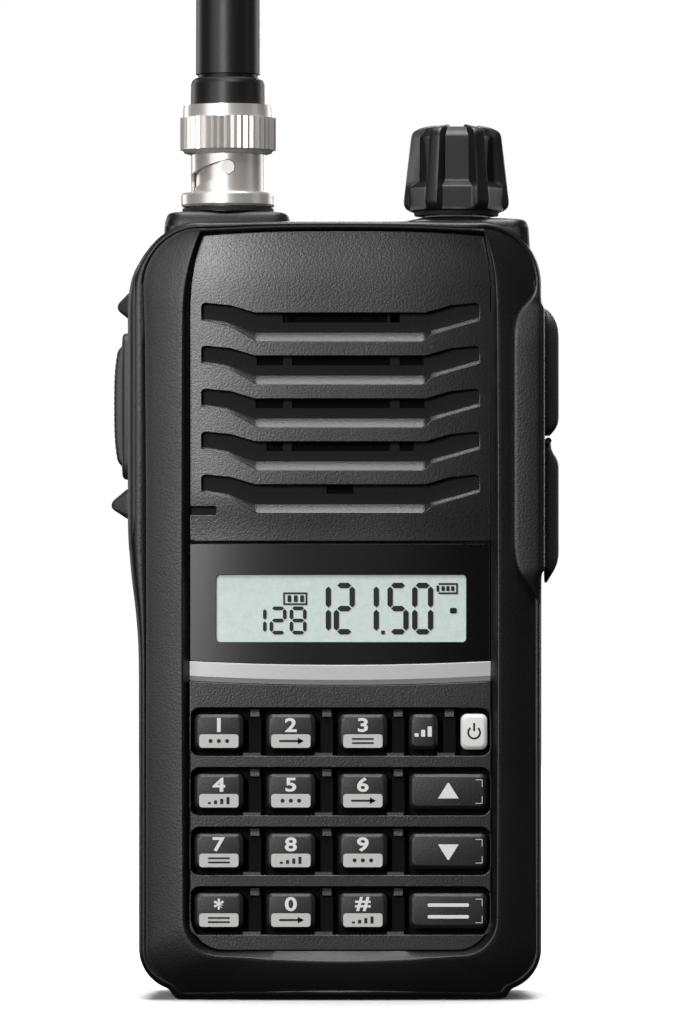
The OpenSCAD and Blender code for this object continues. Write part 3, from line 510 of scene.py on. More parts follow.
def case_top():
    """Both bosses, the seat under the knob and the ring under the antenna's socket."""
    y0, y1 = FRONT + 2.15, CASE_BACK - 0.15
    bosses = Shape()
    for levels, (foot, top) in ((ANTENNA_BOSS, ANTENNA_SHOULDER), (KNOB_BOSS, KNOB_SHOULDER)):
        bosses.loft([[(x, y, z) for x, y in rounded(x0, x1, y0 + d, y1 - d, 2.6, 7)]
                     for z, x0, x1, d in levels])
        bosses.loft([[(x, y, z) for x, y in rounded(x0, x1, y0, y1, 1.6, 7)]
                     for z, (x0, x1) in ((SHOULDER_FOOT, foot), (levels[0][0] + 0.1, top))])
    # low domed seat under the knob
    bosses.turned([(3.65, 113.5), (3.65, 114.08), (4.6, 114.06), (5.4, 113.96), (6.0, 113.8), (6.3, 113.5)],
                  (KNOB_X, KNOB_Y), 72)
    bosses.make("front_case_bosses", "root", "case_plastic", angle=38)
    ring = Shape()
    ring.turned([(5.75, 114.9), (5.75, 115.42), (6.5, 115.42), (6.7, 115.3), (6.7, 114.85)],
                (ANT_X, ANT_Y), 72)
    ring.make("antenna_ring", "root", "seal_rubber", angle=38)


# (z, the lobe's inner edge)
LOBE_EDGE = [(57.6, 28.9), (58.4, 28.4), (60, 27.5), (61.4, 26.25), (63.1, 25.5), (64.9, 25.18), (67, 25.07),
             (96.5, 25.07), (98.0, 25.2), (99.2, 25.5), (100.2, 26.0), (101.0, 26.7), (101.8, 27.5),
             (102.9, 28.15), (104.5, 28.4)]


def lobe():
    """The raised lobe beside the jacks: it grows out of the outer band."""
    back = CASE_BACK
    zs = [57.6, 58.0, 58.4, 59.0, 59.6, 60.2, 60.8, 61.4, 62.0, 62.6, 63.3, 64.1, 65, 66, 67.5]
    zs += range(70, 95, 3)
    zs += [95.5, 96.5, 97.3, 98, 98.6, 99.2, 99.7, 100.2, 100.6, 101, 101.4, 101.8, 102.3, 102.9, 103.6,
           104.5]
    rings = []
    for z in zs:
        xi = (table(LOBE_EDGE, z) + table(LOBE_EDGE, z - 0.4) + table(LOBE_EDGE, z + 0.4)) / 3
        xo = 29.25 + 0.5 * smooth(61.8, 62.6, z) * (1 - smooth(100.2, 101.6, z))
        face = (FRONT - 0.25 + 1.25 * smooth(95.5, 104.5, z) + 1.5 * smooth(101.5, 105.2, z)
                + 1.1 * (1 - smooth(57.6, 62.5, z)))
        soft = min(1.0, (xo - xi) / 2.2)
        ring = [(xi, -13.1), (xi - 0.02, face + 0.55), (xi, face + 0.36), (xi + 0.07, face + 0.2),
                (xi + 0.2 * soft, face + 0.08), (xi + 0.42 * soft, face + 0.02), (xi + 0.75 * soft, face),
                (xo - 1.3 * soft, face + 0.04), (xo - 0.9 * soft, face + 0.1), (xo - 0.5 * soft, face + 0.26),
                (xo - 0.2 * soft, face + 0.55), (xo - 0.05, face + 0.95), (xo, face + 1.5), (xo, back - 0.1),
                (28.0, back - 0.1), (28.0, -13.1)]
        rings.append([(x, y, z) for x, y in ring])
    obj = Shape(rings).make("front_case_lobe", "root", "case_plastic", angle=50)
    jack_opening(obj)


# the cover's two halves: (z, outer face)
COVER_BASE = [(82.25, 30.75), (82.6, 31.05), (83.1, 31.45), (83.8, 31.8), (84.7, 31.95), (96.6, 31.95),
              (97.8, 31.85), (98.7, 31.6), (99.5, 31.2), (100.1, 30.8), (100.5, 30.45), (100.75, 30.1)]
COVER_FLAP = [(60.7, 30.3), (61.3, 30.6), (61.9, 30.95), (62.7, 31.4), (63.6, 31.75), (64.6, 31.93),
              (65.6, 31.95), (77.6, 31.95), (78.3, 31.85), (79.0, 31.55), (79.6, 31.15), (80.2, 30.9),
              (81.25, 30.85)]
COVER_SCREW_Z, COVER_HINGE_Z = 92.0, 81.4


def cover_half(edge, x_in, ends):
    """One half of the jack cover: its outer face follows edge, its long sides are rounded over, and its
    two ends are rounded in plan, the more so the smaller their factor in ends is."""
    rings = []
    for z, xo in edge:
        near = min(abs(z - edge[0][0]) * ends[0], abs(edge[-1][0] - z) * ends[1])
        side = 2.6 * (1 - math.sqrt(1 - (1 - min(1, near / 2.6)) ** 2))
        y0, y1 = SIDE_Y - 4.7 + side, SIDE_Y + 4.7 - side
        w = min(1.0, (xo - x_in) / 1.5)
        front = [(x_in, y0 + 0.45), (x_in + 0.1 * w, y0 + 0.2), (x_in + 0.3 * w, y0 + 0.05),
                 (x_in + 0.55 * w, y0), (x_in + 0.85 * w, y0 + 0.03), (xo - 0.4 * w, y0 + 0.16),
                 (xo - 0.2 * w, y0 + 0.36), (xo - 0.06 * w, y0 + 0.68), (xo, y0 + 1.1)]
        rings.append([(x, y, z) for x, y in front] + [(x, y0 + y1 - y, z) for x, y in front[::-1]])
    return Shape(rings)


def jack_cover():
    """The screwed upper half, and the flap with its plug and its hinge roll."""
    piece = cover_half(COVER_BASE, 29.95, (3, 1))
    obj = piece.make("jack_cover_base_rubber", "root", "cover_rubber", angle=50)
    bore = Shape()
    bore.prism(circle(SIDE_Y, COVER_SCREW_Z, 2.05, 40), (29.0, 33.0))
    cut(obj, bore, 50)
    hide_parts("jack_cover_base")
    flap = cover_half(COVER_FLAP, 30.0, (1, 3))
    flap.loft([[(x, y, z) for y, z in rounded(SIDE_Y - 3.6 + i, SIDE_Y + 3.6 - i, 63.2 + i, 78.4 - i, 1.2, 5)]
               for x, i in ((30.1, 0.0), (29.6, 0.0), (29.47, 0.15))])
    roll = circle(30.4, COVER_HINGE_Z, 0.48, 20)
    flap.loft([[(x, y, z) for x, z in roll] for y in (SIDE_Y - 4.5, SIDE_Y + 4.5)])
    obj = flap.make("jack_flap_rubber", "flap", "cover_rubber", angle=50)
    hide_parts("jack_flap")


def pack_seal():
    """A foam ring on the back of the chassis, which the battery pack slides past."""
    back = span("battery_lid")[0][1] - 0.05
    rings = []
    for (xo, zo), (xi, zi) in zip(rounded(-28.1, 28.1, 0.6, 79.5, 6.4, 8, r_top=0.9),
                                  rounded(-27.1, 27.1, 1.6, 78.5, 5.4, 8, r_top=0.5)):
        rings.append([(xo, back - 0.27, zo), (xo, back - 0.03, zo), (xo * 0.998, back, zo), (xi, back, zi),
                      (xi, back - 0.27, zi)])
    Shape(rings, closed=True).make("pack_seal", "root", "seal_rubber")


# ------------------------------------------------------------------ grip, push-to-talk bar, side keys

PAD_PROUD = 0.11
PAD_OUT = -31.6             # face of the bar's base, under its ribs
CAP_IN = -30.5              # inner ends of the bar and of the side keys


def side_pad():
    """Rubber laid into the grip round the side controls, a little proud of the band."""
    back = span("side_pad")[1][1]
    stations = [s for s in case_stations() if s[1][0] < -28 and 65.0 < s[1][1] < 107.2]
    last = len(stations) - 1
    rings = []
    for i, station in enumerate(stations):
        _, (ox, oz), (nx, nz), _ = station
        _, _, rim, _, end = measures(station)
        edge = min(smooth(-0.5, 5, i), smooth(-0.5, 5, last - i))
        start = 0.36 * (0.35 + 0.65 * edge)
        grown = 0.3 + 0.7 * edge
        ring = []
        for k, share in enumerate([start, start - 0.01] + [b[0] for b in BAND if b[0] < start - 0.04]):
            proud = (0.0, 0.05, PAD_PROUD)[min(k, 2)] * grown
            ring.append((ox - nx * (rim * share - proud), end + table(BAND[::-1], share) - 0.5 * proud,
                         oz - nz * (rim * share - proud)))
        proud = PAD_PROUD * grown
        ring += [(ox + nx * proud, back - 0.4, oz + nz * proud), (ox + nx * proud * 0.5, back - 0.1, oz),
                 (ox + 0.1, back, oz), (ox + 0.7, back, oz),
                 (ox - nx * (rim * start + 0.2), end + table(BAND[::-1], start) + 0.9, oz)]
        rings.append(ring)
    n = max(len(r) for r in rings)
    rings = [r[:2] + [r[2]] * (n - len(r)) + r[2:] for r in rings]
    obj = Shape(rings).make("side_pad_rubber", "root", "grip_rubber", angle=50)
    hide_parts("side_pad")


def ptt():
    """The push-to-talk bar: a flat base with a ribbed crest, bowed along its length."""
    low, high = span("ptt_button")
    z0, z1 = low[2], high[2]
    y0, y1 = SIDE_Y - 4, SIDE_Y + 4
    cap = Shape([[(x, a, b) for a, b in rounded(y0 + i, y1 - i, z0 + i, z1 - i, 2.4 - i, 6)]
                 for x, i in ((CAP_IN, 0.0), (-31.35, 0.0), (PAD_OUT, 0.08), (-31.78, 0.28), (-31.88, 0.6),
                              (-31.92, 1.1))])
    mid, half = (z0 + z1) / 2, (z1 - z0) / 2 - 1.5
    n, rib_steps, taper, half_y = 92, 4, 0.9, 2.75
    rings = []
    for i in range(n + 1):
        t = -1 + 2 * i / n
        z = mid + half * t
        bow = low[0] + 0.02 + 0.8 * abs(t) ** 3.2
        end = smooth(1.0, 0.86, abs(t))
        x = (bow + 0.03 * (1 - math.cos(2 * math.pi * i / rib_steps))) * end + -31.9 * (1 - end)
        w = half_y
        if abs(t) >= taper:
            w *= math.sqrt(max(0.05, 1 - ((abs(t) - taper) / 0.1) ** 2 * 0.8))
        side = [(PAD_OUT, w), (x + 0.5, w), (x + 0.18, w - 0.15), (x + 0.04, w - 0.5), (x, w - 1.1)]
        rings.append([(a, SIDE_Y - b, z) for a, b in side] + [(a, SIDE_Y + b, z) for a, b in side[::-1]])
    cap.loft(rings)
    obj = cap.make("ptt_bar", "ptt", "grip_rubber", angle=50)
    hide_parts("ptt_button")


# a side key from its inner end to its tip: share of its height, share of its width
SIDE_KEY = [(0, 1.0), (0.2, 1.0), (0.3, 0.93), (0.42, 0.8), (0.55, 0.67), (0.68, 0.54), (0.8, 0.42),
            (0.89, 0.32), (0.95, 0.22), (0.985, 0.12), (1.0, 0.03)]


def side_keys():
    for name, body in (("side_key_upper", "upper_key"), ("side_key_lower", "lower_key")):
        (out, _, z0), (_, _, z1) = span(name)
        rings = []
        for t, share in SIDE_KEY:
            mid = (z0 + z1) / 2 - 0.25 * (1 - share)
            half_y, half_z = 2.6 - 1.3 * (1 - share), (z1 - z0) / 2 * share
            rings.append([(CAP_IN + (out - CAP_IN) * t, a, b)
                          for a, b in rounded(SIDE_Y - half_y, SIDE_Y + half_y, mid - half_z, mid + half_z,
                                              0.9 * share, 5)])
        obj = Shape(rings).make(name + "_cap", body, "grip_rubber", angle=60)
        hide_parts(name)


# ------------------------------------------------------------------ grille, window, strip, keypad

SLOT_Z, SLOT_PITCH, SLOTS = 99.8, 6.235, 5
# one slot's three edges: (x, height above the slot's own z)
SLOT_TOP = [(-20.1, 1.0), (-19.95, 1.3), (-19.5, 1.42), (-15.9, 1.05), (-12.4, 0.0), (12.4, 0.0),
            (16.0, 1.05), (19.6, 1.42), (20.0, 1.3), (20.2, 1.05)]
SLOT_FLOOR = [(-20.1, -0.85), (-19.5, -0.8), (-16.2, -1.3), (-15.4, -1.6), (-12.4, -2.8), (12.6, -2.8),
              (13.1, -2.5), (16.0, -1.8), (20.0, -0.6), (20.2, -0.6)]
SLOT_LIP = [(-20.1, -0.95), (-19.5, -1.1), (-16.2, -1.85), (-15.3, -2.25), (-12.2, -4.0), (-11.75, -4.1),
            (11.75, -4.1), (12.2, -3.95), (13.2, -3.05), (16.0, -2.2), (20.0, -1.05), (20.2, -0.95)]
SLOT_XS = sorted({x for edge in (SLOT_TOP, SLOT_FLOOR, SLOT_LIP) for x, _ in edge}
                 | {-18.0, -14.0, 14.5, 18.0} | {float(x) for x in range(-11, 12)})
FLOOR_DEPTH = 1.75
SPEAKER_Z, SPEAKER_REACH = 88.0, 13.1
RIBS = ((-8.3, -7.0), (7.25, 8.65))
PLATE_THICK, PLATE_EDGE = 1.9, 0.13
FIT_HALF = OPEN_HALF - 0.08        # the plates stay this far clear of the opening
PLATE_CUTS = range(-21, 22)


def grille():
    """The upper face plate with its five slots, and the sloped louvres behind them."""
    base = span("display_window")[1][2] + 0.1
    rise = [100 + (OPEN_TOP - 0.8 - 100) * i / 12 for i in range(1, 13)]
    x0, x1 = 0.08 - lean(rise[-1], -1), lean(rise[-1], 1) - 0.08
    outline = [(-FIT_HALF, base), (FIT_HALF, base), (FIT_HALF, 100)] + [(lean(z, 1) - 0.08, z) for z in rise]
    outline += [(x1 + (x0 - x1) * i / 26, OPEN_TOP - 0.12 - 0.7 * abs(i / 13 - 1) ** 2.6)
                for i in range(1, 26)]
    outline += [(0.08 - lean(z, -1), z) for z in rise[::-1]] + [(-FIT_HALF, 100)]
    # the microphone slot
    outline += [(-FIT_HALF, 71.7), (-18.2, 71.7), (-18.05, 71.55), (-18.05, 70.65), (-18.2, 70.5),
                (-FIT_HALF, 70.5)]
    slots = [SLOT_Z - i * SLOT_PITCH for i in range(SLOTS)]
    holes = [[(x, z + table(SLOT_LIP, x)) for x in SLOT_XS]
             + [(x, z + table(SLOT_TOP, x)) for x in SLOT_XS[::-1]] for z in slots]
    cuts = [*PLATE_CUTS, -21.5, 21.5, -20.5, 20.5, -19.5, 19.5]
    obj = plate_piece("face_plate_grille", [outline] + holes, PLATE_Y, PLATE_Y + PLATE_THICK, PLATE_EDGE,
                      "panel_plastic", cuts, [102, 103.5, 105, 106.5, 108, 109.5, 110.6])
    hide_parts("face_plate")
    louvre, lips = Shape(), Shape()
    for z in slots:
        slot_louvre(z, z == slots[-1], louvre, lips)
    # the dark bottom of the microphone slot
    louvre.box((-21.8, PLATE_Y + 1.9, 70.2), (-17.8, PLATE_Y + 2.3, 72.0))
    louvre.make("face_plate_louvres", "root", "panel_plastic", M["louvre"], angle=25)
    lips.make("face_plate_lips", "root", "panel_plastic", angle=25)


def slot_louvre(z, lowest, louvre, lips):
    """One slot's floor, open to the speaker in the middle, and the sloped lip below it."""
    floor = PLATE_Y + FLOOR_DEPTH
    under = floor + 0.4

    def face(x):
        return PLATE_Y + crown(x, z)

    def opening(x):
        return z + table(SLOT_TOP, x) - 1.3 * smooth(16, 12.4, abs(x))

    floors, slopes = [], []
    for x in SLOT_XS:
        low, lip = z + table(SLOT_FLOOR, x), z + table(SLOT_LIP, x)
        ledge = face(x) + 0.12 + 0.56 * (low - lip)
        floors.append([(x, floor, opening(x)), (x, floor, low - 0.05), (x, under, low - 0.05),
                       (x, under, opening(x))])
        slopes.append([(x, floor + 0.1, low), (x, ledge + 0.06, low), (x, ledge, low - 0.06),
                       (x, face(x) + 0.1, lip + 0.02), (x, face(x) + 0.12, lip - 0.08),
                       (x, floor + 0.1, lip - 0.08)])
    louvre.loft(floors)
    lips.loft(slopes)
    # upper part of the floor: everything that is not an opening
    drop = z - 0.65 - SPEAKER_Z
    reach = min(math.sqrt(max(0.0, SPEAKER_REACH ** 2 - drop ** 2)), 12.3)
    solids = [(-20.1, -1.95), (1.95, 20.2)] if lowest else [(-20.1, -reach), *RIBS, (reach, 20.2)]
    for x0, x1 in solids:
        rings = []
        for x in sorted({x0, x1} | {x for x in SLOT_XS if x0 < x < x1}):
            top, foot = z + table(SLOT_TOP, x) + 0.1, opening(x) - 0.02
            rings.append([(x, floor, top), (x, floor, foot), (x, under, foot), (x, under, top)])
        louvre.loft(rings)


def strip_top(x):
    return 48.7 + 0.55 * (x / 21.85) ** 2


def strip_low(x):
    return 45.8 + 0.6 * (x / 21.85) ** 2


def window_and_strip():
    """The dark window with its opening, the liquid crystal panel behind it and the silver strip below."""
    half, _, top = span("display_window")[1]
    n = 24
    xs = [-half + 2 * half * i / n for i in range(n + 1)]
    outline = [(x, strip_top(x) + 0.04) for x in xs] + [(half, top - 0.3), (-half, top - 0.3)]
    view_x0, view_x1, view_z0, view_z1 = -18.0, 18.3, 52.05, 61.8
    hole = rounded(view_x0, view_x1, view_z0, view_z1, 0.55, 5)
    pane = plate_piece("display_pane", [outline, hole], PLATE_Y + 0.3, PLATE_Y + 1.6, 0.07, "window_black",
                       [*range(-21, -17), -17.5, *range(-17, 18), 17.8, *range(18, 22)],
                       [50.5, 51.5, 52.6, 54, 56, 58, 60, 61.25, 62.4, 64, 65.5])
    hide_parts("display_window")
    groove = Shape()
    groove.box((-half, PLATE_Y + 1.3, top - 0.8), (half, PLATE_Y + 1.6, top + 0.3))
    groove.make("display_groove", "root", "seal_rubber", M["mat"])
    # liquid crystal panel just behind the pane
    n, hidden = 18, 0.5
    rings = []
    for i in range(n + 1):
        x = view_x0 - hidden + (view_x1 - view_x0 + 2 * hidden) * i / n
        y = LCD_Y + crown(x, 0) * 0.999
        z0, z1 = view_z0 - hidden, view_z1 + hidden
        rings.append([(x, y, z0), (x, y, z1), (x, y + 0.5, z1), (x, y + 0.5, z0)])
    lcd = Shape(rings).make("lcd_panel", "root", "lcd_green")
    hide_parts("lcd_glass")
    # the marks and, a little lower to the right and just behind, the shadow they throw on the reflector
    lcd_marks("lcd_shadows", 0.13, M["shade"], 0.008)
    lcd_marks("lcd_marks", 0.0, M["segment"], 0.035)
    # silver strip with a bevel along its lower edge
    rings = []
    for x in xs:
        y, z0, z1 = PLATE_Y - 0.22 + crown(x, 40), strip_low(x), strip_top(x)
        rings.append([(x, y + 1.2, z1), (x, y + 0.08, z1), (x, y, z1 - 0.1), (x, y, z0 + 0.75),
                      (x, y + 0.1, z0 + 0.62), (x, y + 0.55, z0 + 0.02), (x, y + 1.2, z0)])
    trim = Shape(rings).make("trim_band", "root", "silver_trim", angle=25)
    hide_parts("trim_strip")


LCD_Y = PLATE_Y + 0.62
SEGMENTS = {"0": "abcdef", "1": "bc", "2": "abged", "5": "afgcd", "8": "abcdefg"}


def lcd_depth(x):
    return LCD_Y + crown(x, 0)


def bar(shape, y, points, thick):
    """A thin printed patch from a polygon in X and Z, lying on depth y (a number or a function of x)."""
    depth = y if callable(y) else (lambda x: y)
    shape.loft([[(x, depth(x) - thick, z) for x, z in points], [(x, depth(x) + 0.03, z) for x, z in points]])


def seven(shape, char, x0, z0, w, h, t, thick):
    """One seven-segment digit with slanted ends, w by h with strokes t wide."""
    g = 0.12 * t + 0.05
    mid = z0 + h / 2

    def across(z):
        return [(x0 + g + t * 0.5, z), (x0 + t + g, z + t / 2), (x0 + w - t - g, z + t / 2),
                (x0 + w - g - t * 0.5, z), (x0 + w - t - g, z - t / 2), (x0 + t + g, z - t / 2)]

    def up(x, za, zb):
        return [(x, za + g + t * 0.5), (x + t / 2, za + g + t), (x + t / 2, zb - t - g),
                (x, zb - g - t * 0.5), (x - t / 2, zb - t - g), (x - t / 2, za + g + t)]

    left, right = x0 + t / 2, x0 + w - t / 2
    place = {"a": across(z0 + h - t / 2), "g": across(mid), "d": across(z0 + t / 2),
             "f": up(left, mid - t / 2, z0 + h), "b": up(right, mid - t / 2, z0 + h),
             "e": up(left, z0, mid + t / 2), "c": up(right, z0, mid + t / 2)}
    for letter in SEGMENTS[char]:
        bar(shape, lcd_depth, place[letter], thick)


def lcd_marks(name, shift, mat, thick):
    """Everything shown on the liquid crystal, moved to the right and down by shift."""
    marks = Shape()
    foot = 53.15
    for char, x in zip("128", (-13.15, -10.25, -7.34)):
        seven(marks, char, x, foot, 2.46, 4.05, 0.52, thick)
    for char, x in zip("12150", (-4.4, -0.94, 2.56, 6.87, 10.45)):
        seven(marks, char, x, foot, 3.08, 7.5, 0.78, thick)
    decimal = [(5.95, 6.5, foot, 53.7, 0.1)]
    flag = [(-8.28, -4.78, 57.42, 57.67, 0.1), (-8.28, -4.78, 59.0, 59.25, 0.1),
            (-8.28, -8.03, 57.42, 59.25, 0.1), (-5.03, -4.78, 57.42, 59.25, 0.1)]
    flag += [(-7.65 + 0.92 * k, -7.1 + 0.92 * k, 57.85, 58.82, 0.1) for k in range(3)]
    battery = [(14.3, 17.1, 59.0, 59.25, 0.1), (14.3, 17.1, 60.35, 60.6, 0.1), (16.85, 17.1, 59.0, 60.6, 0.1),
               (14.0, 14.4, 59.35, 60.25, 0.1)]
    battery += [(14.72 + 0.7 * k, 15.2 + 0.7 * k, 59.45, 60.15, 0.08) for k in range(3)]
    dot = [(15.95, 16.95, 56.2, 57.0, 0.2)]
    for x0, x1, z0, z1, r in decimal + flag + battery + dot:
        bar(marks, lcd_depth, rounded(x0, x1, z0, z1, r, 3), thick)
    marks.verts = [(x + shift, y + crown(x + shift, 0) - crown(x, 0), z - shift * 0.8)
                   for x, y, z in marks.verts]
    marks.make(name, "root", "lcd_green", mat)


KEY_ROWS = [["key_1", "key_2", "key_3", "key_monitor", "key_power"], ["key_4", "key_5", "key_6", "key_up"],
            ["key_7", "key_8", "key_9", "key_down"], ["key_star", "key_0", "key_hash", "key_mode"]]
ROW_HALF, ROW_H = 21.9, 6.95


def keypad_plate():
    """The lower face plate with a hole for each row, and the webs and bars between the keys."""
    corner = 4.95
    cx, cz = FIT_HALF - corner, OPEN_LOW + 0.08 + corner
    outline = [(x, strip_low(x) - 0.06) for x in (FIT_HALF - 2 * FIT_HALF * i / 24 for i in range(25))]
    outline += arc(-cx, cz, corner, 180, 270, 10) + arc(cx, cz, corner, 270, 360, 10)
    holes, webs, bars = [], Shape(), Shape()
    face, deep = PLATE_Y, PLATE_Y + 1.0
    for names in KEY_ROWS:
        boxes = [span(n) for n in names]
        mid = (boxes[0][0][2] + boxes[0][1][2]) / 2
        z0, z1 = mid - ROW_H / 2, mid + ROW_H / 2
        holes.append(rounded(-ROW_HALF + 0.18, ROW_HALF - 0.1, z0, z1, 1.35, 6))
        for (_, right), (left, _) in zip(boxes, boxes[1:]):
            xm, gap = (right[0] + left[0]) / 2, left[0] - right[0]
            webs.prism([(deep + 1.2, z0 - 0.1), (deep, z0 - 0.1), (deep, z1 - 1.25), (deep + 0.62, z1 - 0.2),
                        (deep + 1.2, z1 + 0.1)], (xm - 0.9, xm + 0.9))
            bars.prism([(deep + 0.2, z1 - 1.35), (face + 0.3, z1 - 1.32), (face + 0.28, z1 - 1.25),
                        (face + 0.66, z1 - 0.25), (deep + 0.3, z1 - 0.2)], (xm - 0.65, xm + 0.65))
            bars.prism([(face + 0.3, z0 - 0.2), (face + 0.22, z0 - 0.02), (face + 0.34, z0 + 0.4),
                        (face + 0.7, z0 + 0.5), (face + 1.0, z0 - 0.2)], (xm - gap / 2 - 0.1, xm + gap / 4))
    plate_piece("face_plate_keypad", [outline] + holes, PLATE_Y, PLATE_Y + PLATE_THICK, PLATE_EDGE,
                "panel_plastic", PLATE_CUTS, bend=lambda x, z: 0.12 * abs(x / 22) ** 4)
    webs.make("face_plate_webs", "root", "panel_plastic", M["mat"], angle=20)
    bars.make("face_plate_bars", "root", "panel_plastic", angle=20)


# a key cap from its foot to its face: (depth behind the CAD face, inset); the foot itself is the CAD key's
KEY_CAP = [(0.75, 0.02), (0.46, 0.06), (0.36, 0.12), (0.14, 0.42), (0.07, 0.52), (0.05, 0.62)]
PRINT = 0.025                      # thickness of the printing
NUMERAL, STAR = (2.75, 1.3), (3.3, 1.0)     # height and widening
DIGITS = {f"key_{c}": c for c in "1234567890"} | {"key_star": "*", "key_hash": "#"}


def key_body(name, slot):
    """The cap; returns the depth of its face, its middle and its width."""
    (x0, y0, z0), (x1, y1, z1) = span(name)
    rings = []
    for y, inset in [(y1, 0.0)] + [(y0 + depth, inset) for depth, inset in KEY_CAP]:
        rings.append([(x, y, z) for x, z in rounded(x0 + inset, x1 - inset, z0 + inset, z1 - inset,
                                                    0.95 - inset * 0.5, 5)])
    obj = Shape(rings).make(name + "_cap", "body_" + name, slot, angle=45)
    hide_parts(name)
    return y0 + KEY_CAP[-1][0], (x0 + x1) / 2, (z0 + z1) / 2, x1 - x0


def numeral(shape, text, x, y, z, size, wide):
    """Adds a thin raised numeral to shape."""
    curve = bpy.data.curves.new("numeral", "FONT")
    curve.body = text
    curve.size = size
    curve.align_x = curve.align_y = "CENTER"
    curve.extrude = 0.02
    curve.offset = 0.07
    curve.resolution_u = 4
    mesh = mesh_of_curve(curve)
    xs = [v.co.x for v in mesh.vertices]
    zs = [v.co.y for v in mesh.vertices]
    cx, cz = (min(xs) + max(xs)) / 2, (min(zs) + max(zs)) / 2
    shape.add([((v.co.x - cx) * wide + x, y - v.co.z, v.co.y - cz + z) for v in mesh.vertices],
              [list(p.vertices) for p in mesh.polygons])
    bpy.data.meshes.remove(mesh)


def mark(shape, y, x, z, box, r, n, thick=PRINT):
    """A printed patch with rounded corners; box is x0, x1, z0, z1 measured from x, z."""
    x0, x1, z0, z1 = box
    bar(shape, y, rounded(x + x0, x + x1, z + z0, z + z1, r, n), thick)


def keys():
    """Every key: its cap and what is printed on it, in white, as a label, and dark."""
    for name in (name for row in KEY_ROWS for name in row):
        power = name == "key_power"
        y, x, z, w = key_body(name, "key_white" if power else "key_plastic")
        light, label, dark = Shape(), Shape(), Shape()
        if name in DIGITS:
            size, wide = STAR if name == "key_star" else NUMERAL
            numeral(light, DIGITS[name], x, y - 0.005, z + 1.0, size, wide)
            mark(label, y, x, z, (-2.85, 2.85, -2.3, -0.35), 0.42, 4)
            sign_on_label(dark, name, x, z - 1.32, y - 0.03)
        elif name in ("key_up", "key_down"):
            k = 1 if name == "key_up" else -1
            bar(light, y, [(x - 1.5, z - 1.0 * k), (x + 1.5, z - 1.0 * k), (x + 0.1, z + 1.25 * k),
                           (x - 0.1, z + 1.25 * k)], PRINT)
            bracket(light, x, z, w, y)
        elif power:
            bar(dark, y, arc(x, z - 0.1, 1.0, 130, 410, 20) + arc(x, z - 0.1, 0.72, 410, 130, 20), PRINT)
            mark(dark, y, x, z, (-0.15, 0.15, 0.1, 1.3), 0.1, 2)
        elif name == "key_monitor":
            for k in range(3):
                mark(light, y, x, z, (-1.3 + 0.95 * k, -0.7 + 0.95 * k, -0.7, -0.2 + 0.5 * k), 0.1, 2)
        else:
            for k in (-1, 1):
                mark(light, y, x, z, (-3.0, 3.0, 0.85 * k - 0.25, 0.85 * k + 0.25), 0.2, 3)
            bracket(light, x, z, w, y)
        for shape, what, slot, look in ((light, "print", "key_white", "print"),
                                        (label, "label", "key_white", "label"),
                                        (dark, "sign", "key_plastic", "segment")):
            if shape.verts:
                shape.make(f"{name}_{what}", "body_" + name, slot, M[look])


def bracket(shape, x, z, w, y):
    """The fine bracket printed at the right end of the wide keys."""
    right, fine, thick = x + w / 2 - 0.75, 0.08, 0.015
    for low in (-1.75, 1.67):
        mark(shape, y, right, z, (-1.0, 0, low, low + fine), 0.03, 2, thick)
    for low, high in ((-1.7, -0.7), (0.7, 1.7)):
        mark(shape, y, right, z, (-fine, 0, low, high), 0.03, 2, thick)


def sign_on_label(shape, name, x, z, y):
    """A plain dark sign on each white label; no words."""
    kind, thick = list(DIGITS).index(name) % 4, 0.02
    if kind == 0:
        for k in (-1, 0, 1):
            bar(shape, y, arc(x + 1.2 * k, z, 0.3, 0, 360, 10)[:-1], thick)
    elif kind == 1:
        mark(shape, y, x, z, (-1.7, 1.7, -0.15, 0.15), 0.1, 2, thick)
        bar(shape, y, [(x + 1.0, z - 0.5), (x + 1.9, z), (x + 1.0, z + 0.5)], thick)
    elif kind == 2:
        for k in (-1, 1):
            mark(shape, y, x, z, (-1.6, 1.6, 0.3 * k - 0.13, 0.3 * k + 0.13), 0.1, 2, thick)
    else:
        for k in range(4):
            mark(shape, y, x, z, (-1.6 + 0.9 * k, -1.15 + 0.9 * k, -0.5, -0.2 + 0.24 * k), 0.05, 2, thick)


# ------------------------------------------------------------------ knob

# the crests: (height above the foot, radius) on the skirt, heights on the tapered side, and
# (depth below the top, radius) over the rim
KNOB_SKIRT = [(0, 6.1), (0.5, 6.25), (0.62, 6.6), (0.75, 6.95), (1.0, 7.3), (1.3, 7.55), (1.7, 7.68),
              (2.2, 7.7)]
KNOB_SIDE = (2.8, 3.4, 3.9, 4.05, 4.2, 4.5, 4.8, 5.0, 5.15, 5.4, 6.2, 7.2, 8.2, 9.2, 10.2, 11.0, 11.35)
KNOB_RIM = [(1.75, 6.6), (1.45, 6.52), (1.15, 6.36), (0.9, 6.12), (0.7, 5.8), (0.52, 5.4), (0.38, 4.95),
            (0.24, 4.4), (0.12, 3.8), (0.04, 3.2), (0.06, 2.95), (0.4, 2.7), (0.45, 1.8), (0.45, 0.2)]
KNOB_TAPER = 0.116
# the flutes' floor: radius, in the same two ways
FLUTE_SKIRT = [(3.9, 6.62), (4.05, 6.56), (5.0, 5.32), (5.15, 5.25)]
FLUTE_RIM = [(1.9, 5.2), (1.75, 5.14), (1.05, 4.5), (0.75, 4.35), (0.45, 4.2)]
KNOB_SHADE_TOP, KNOB_DISH = 0.62, 0.45


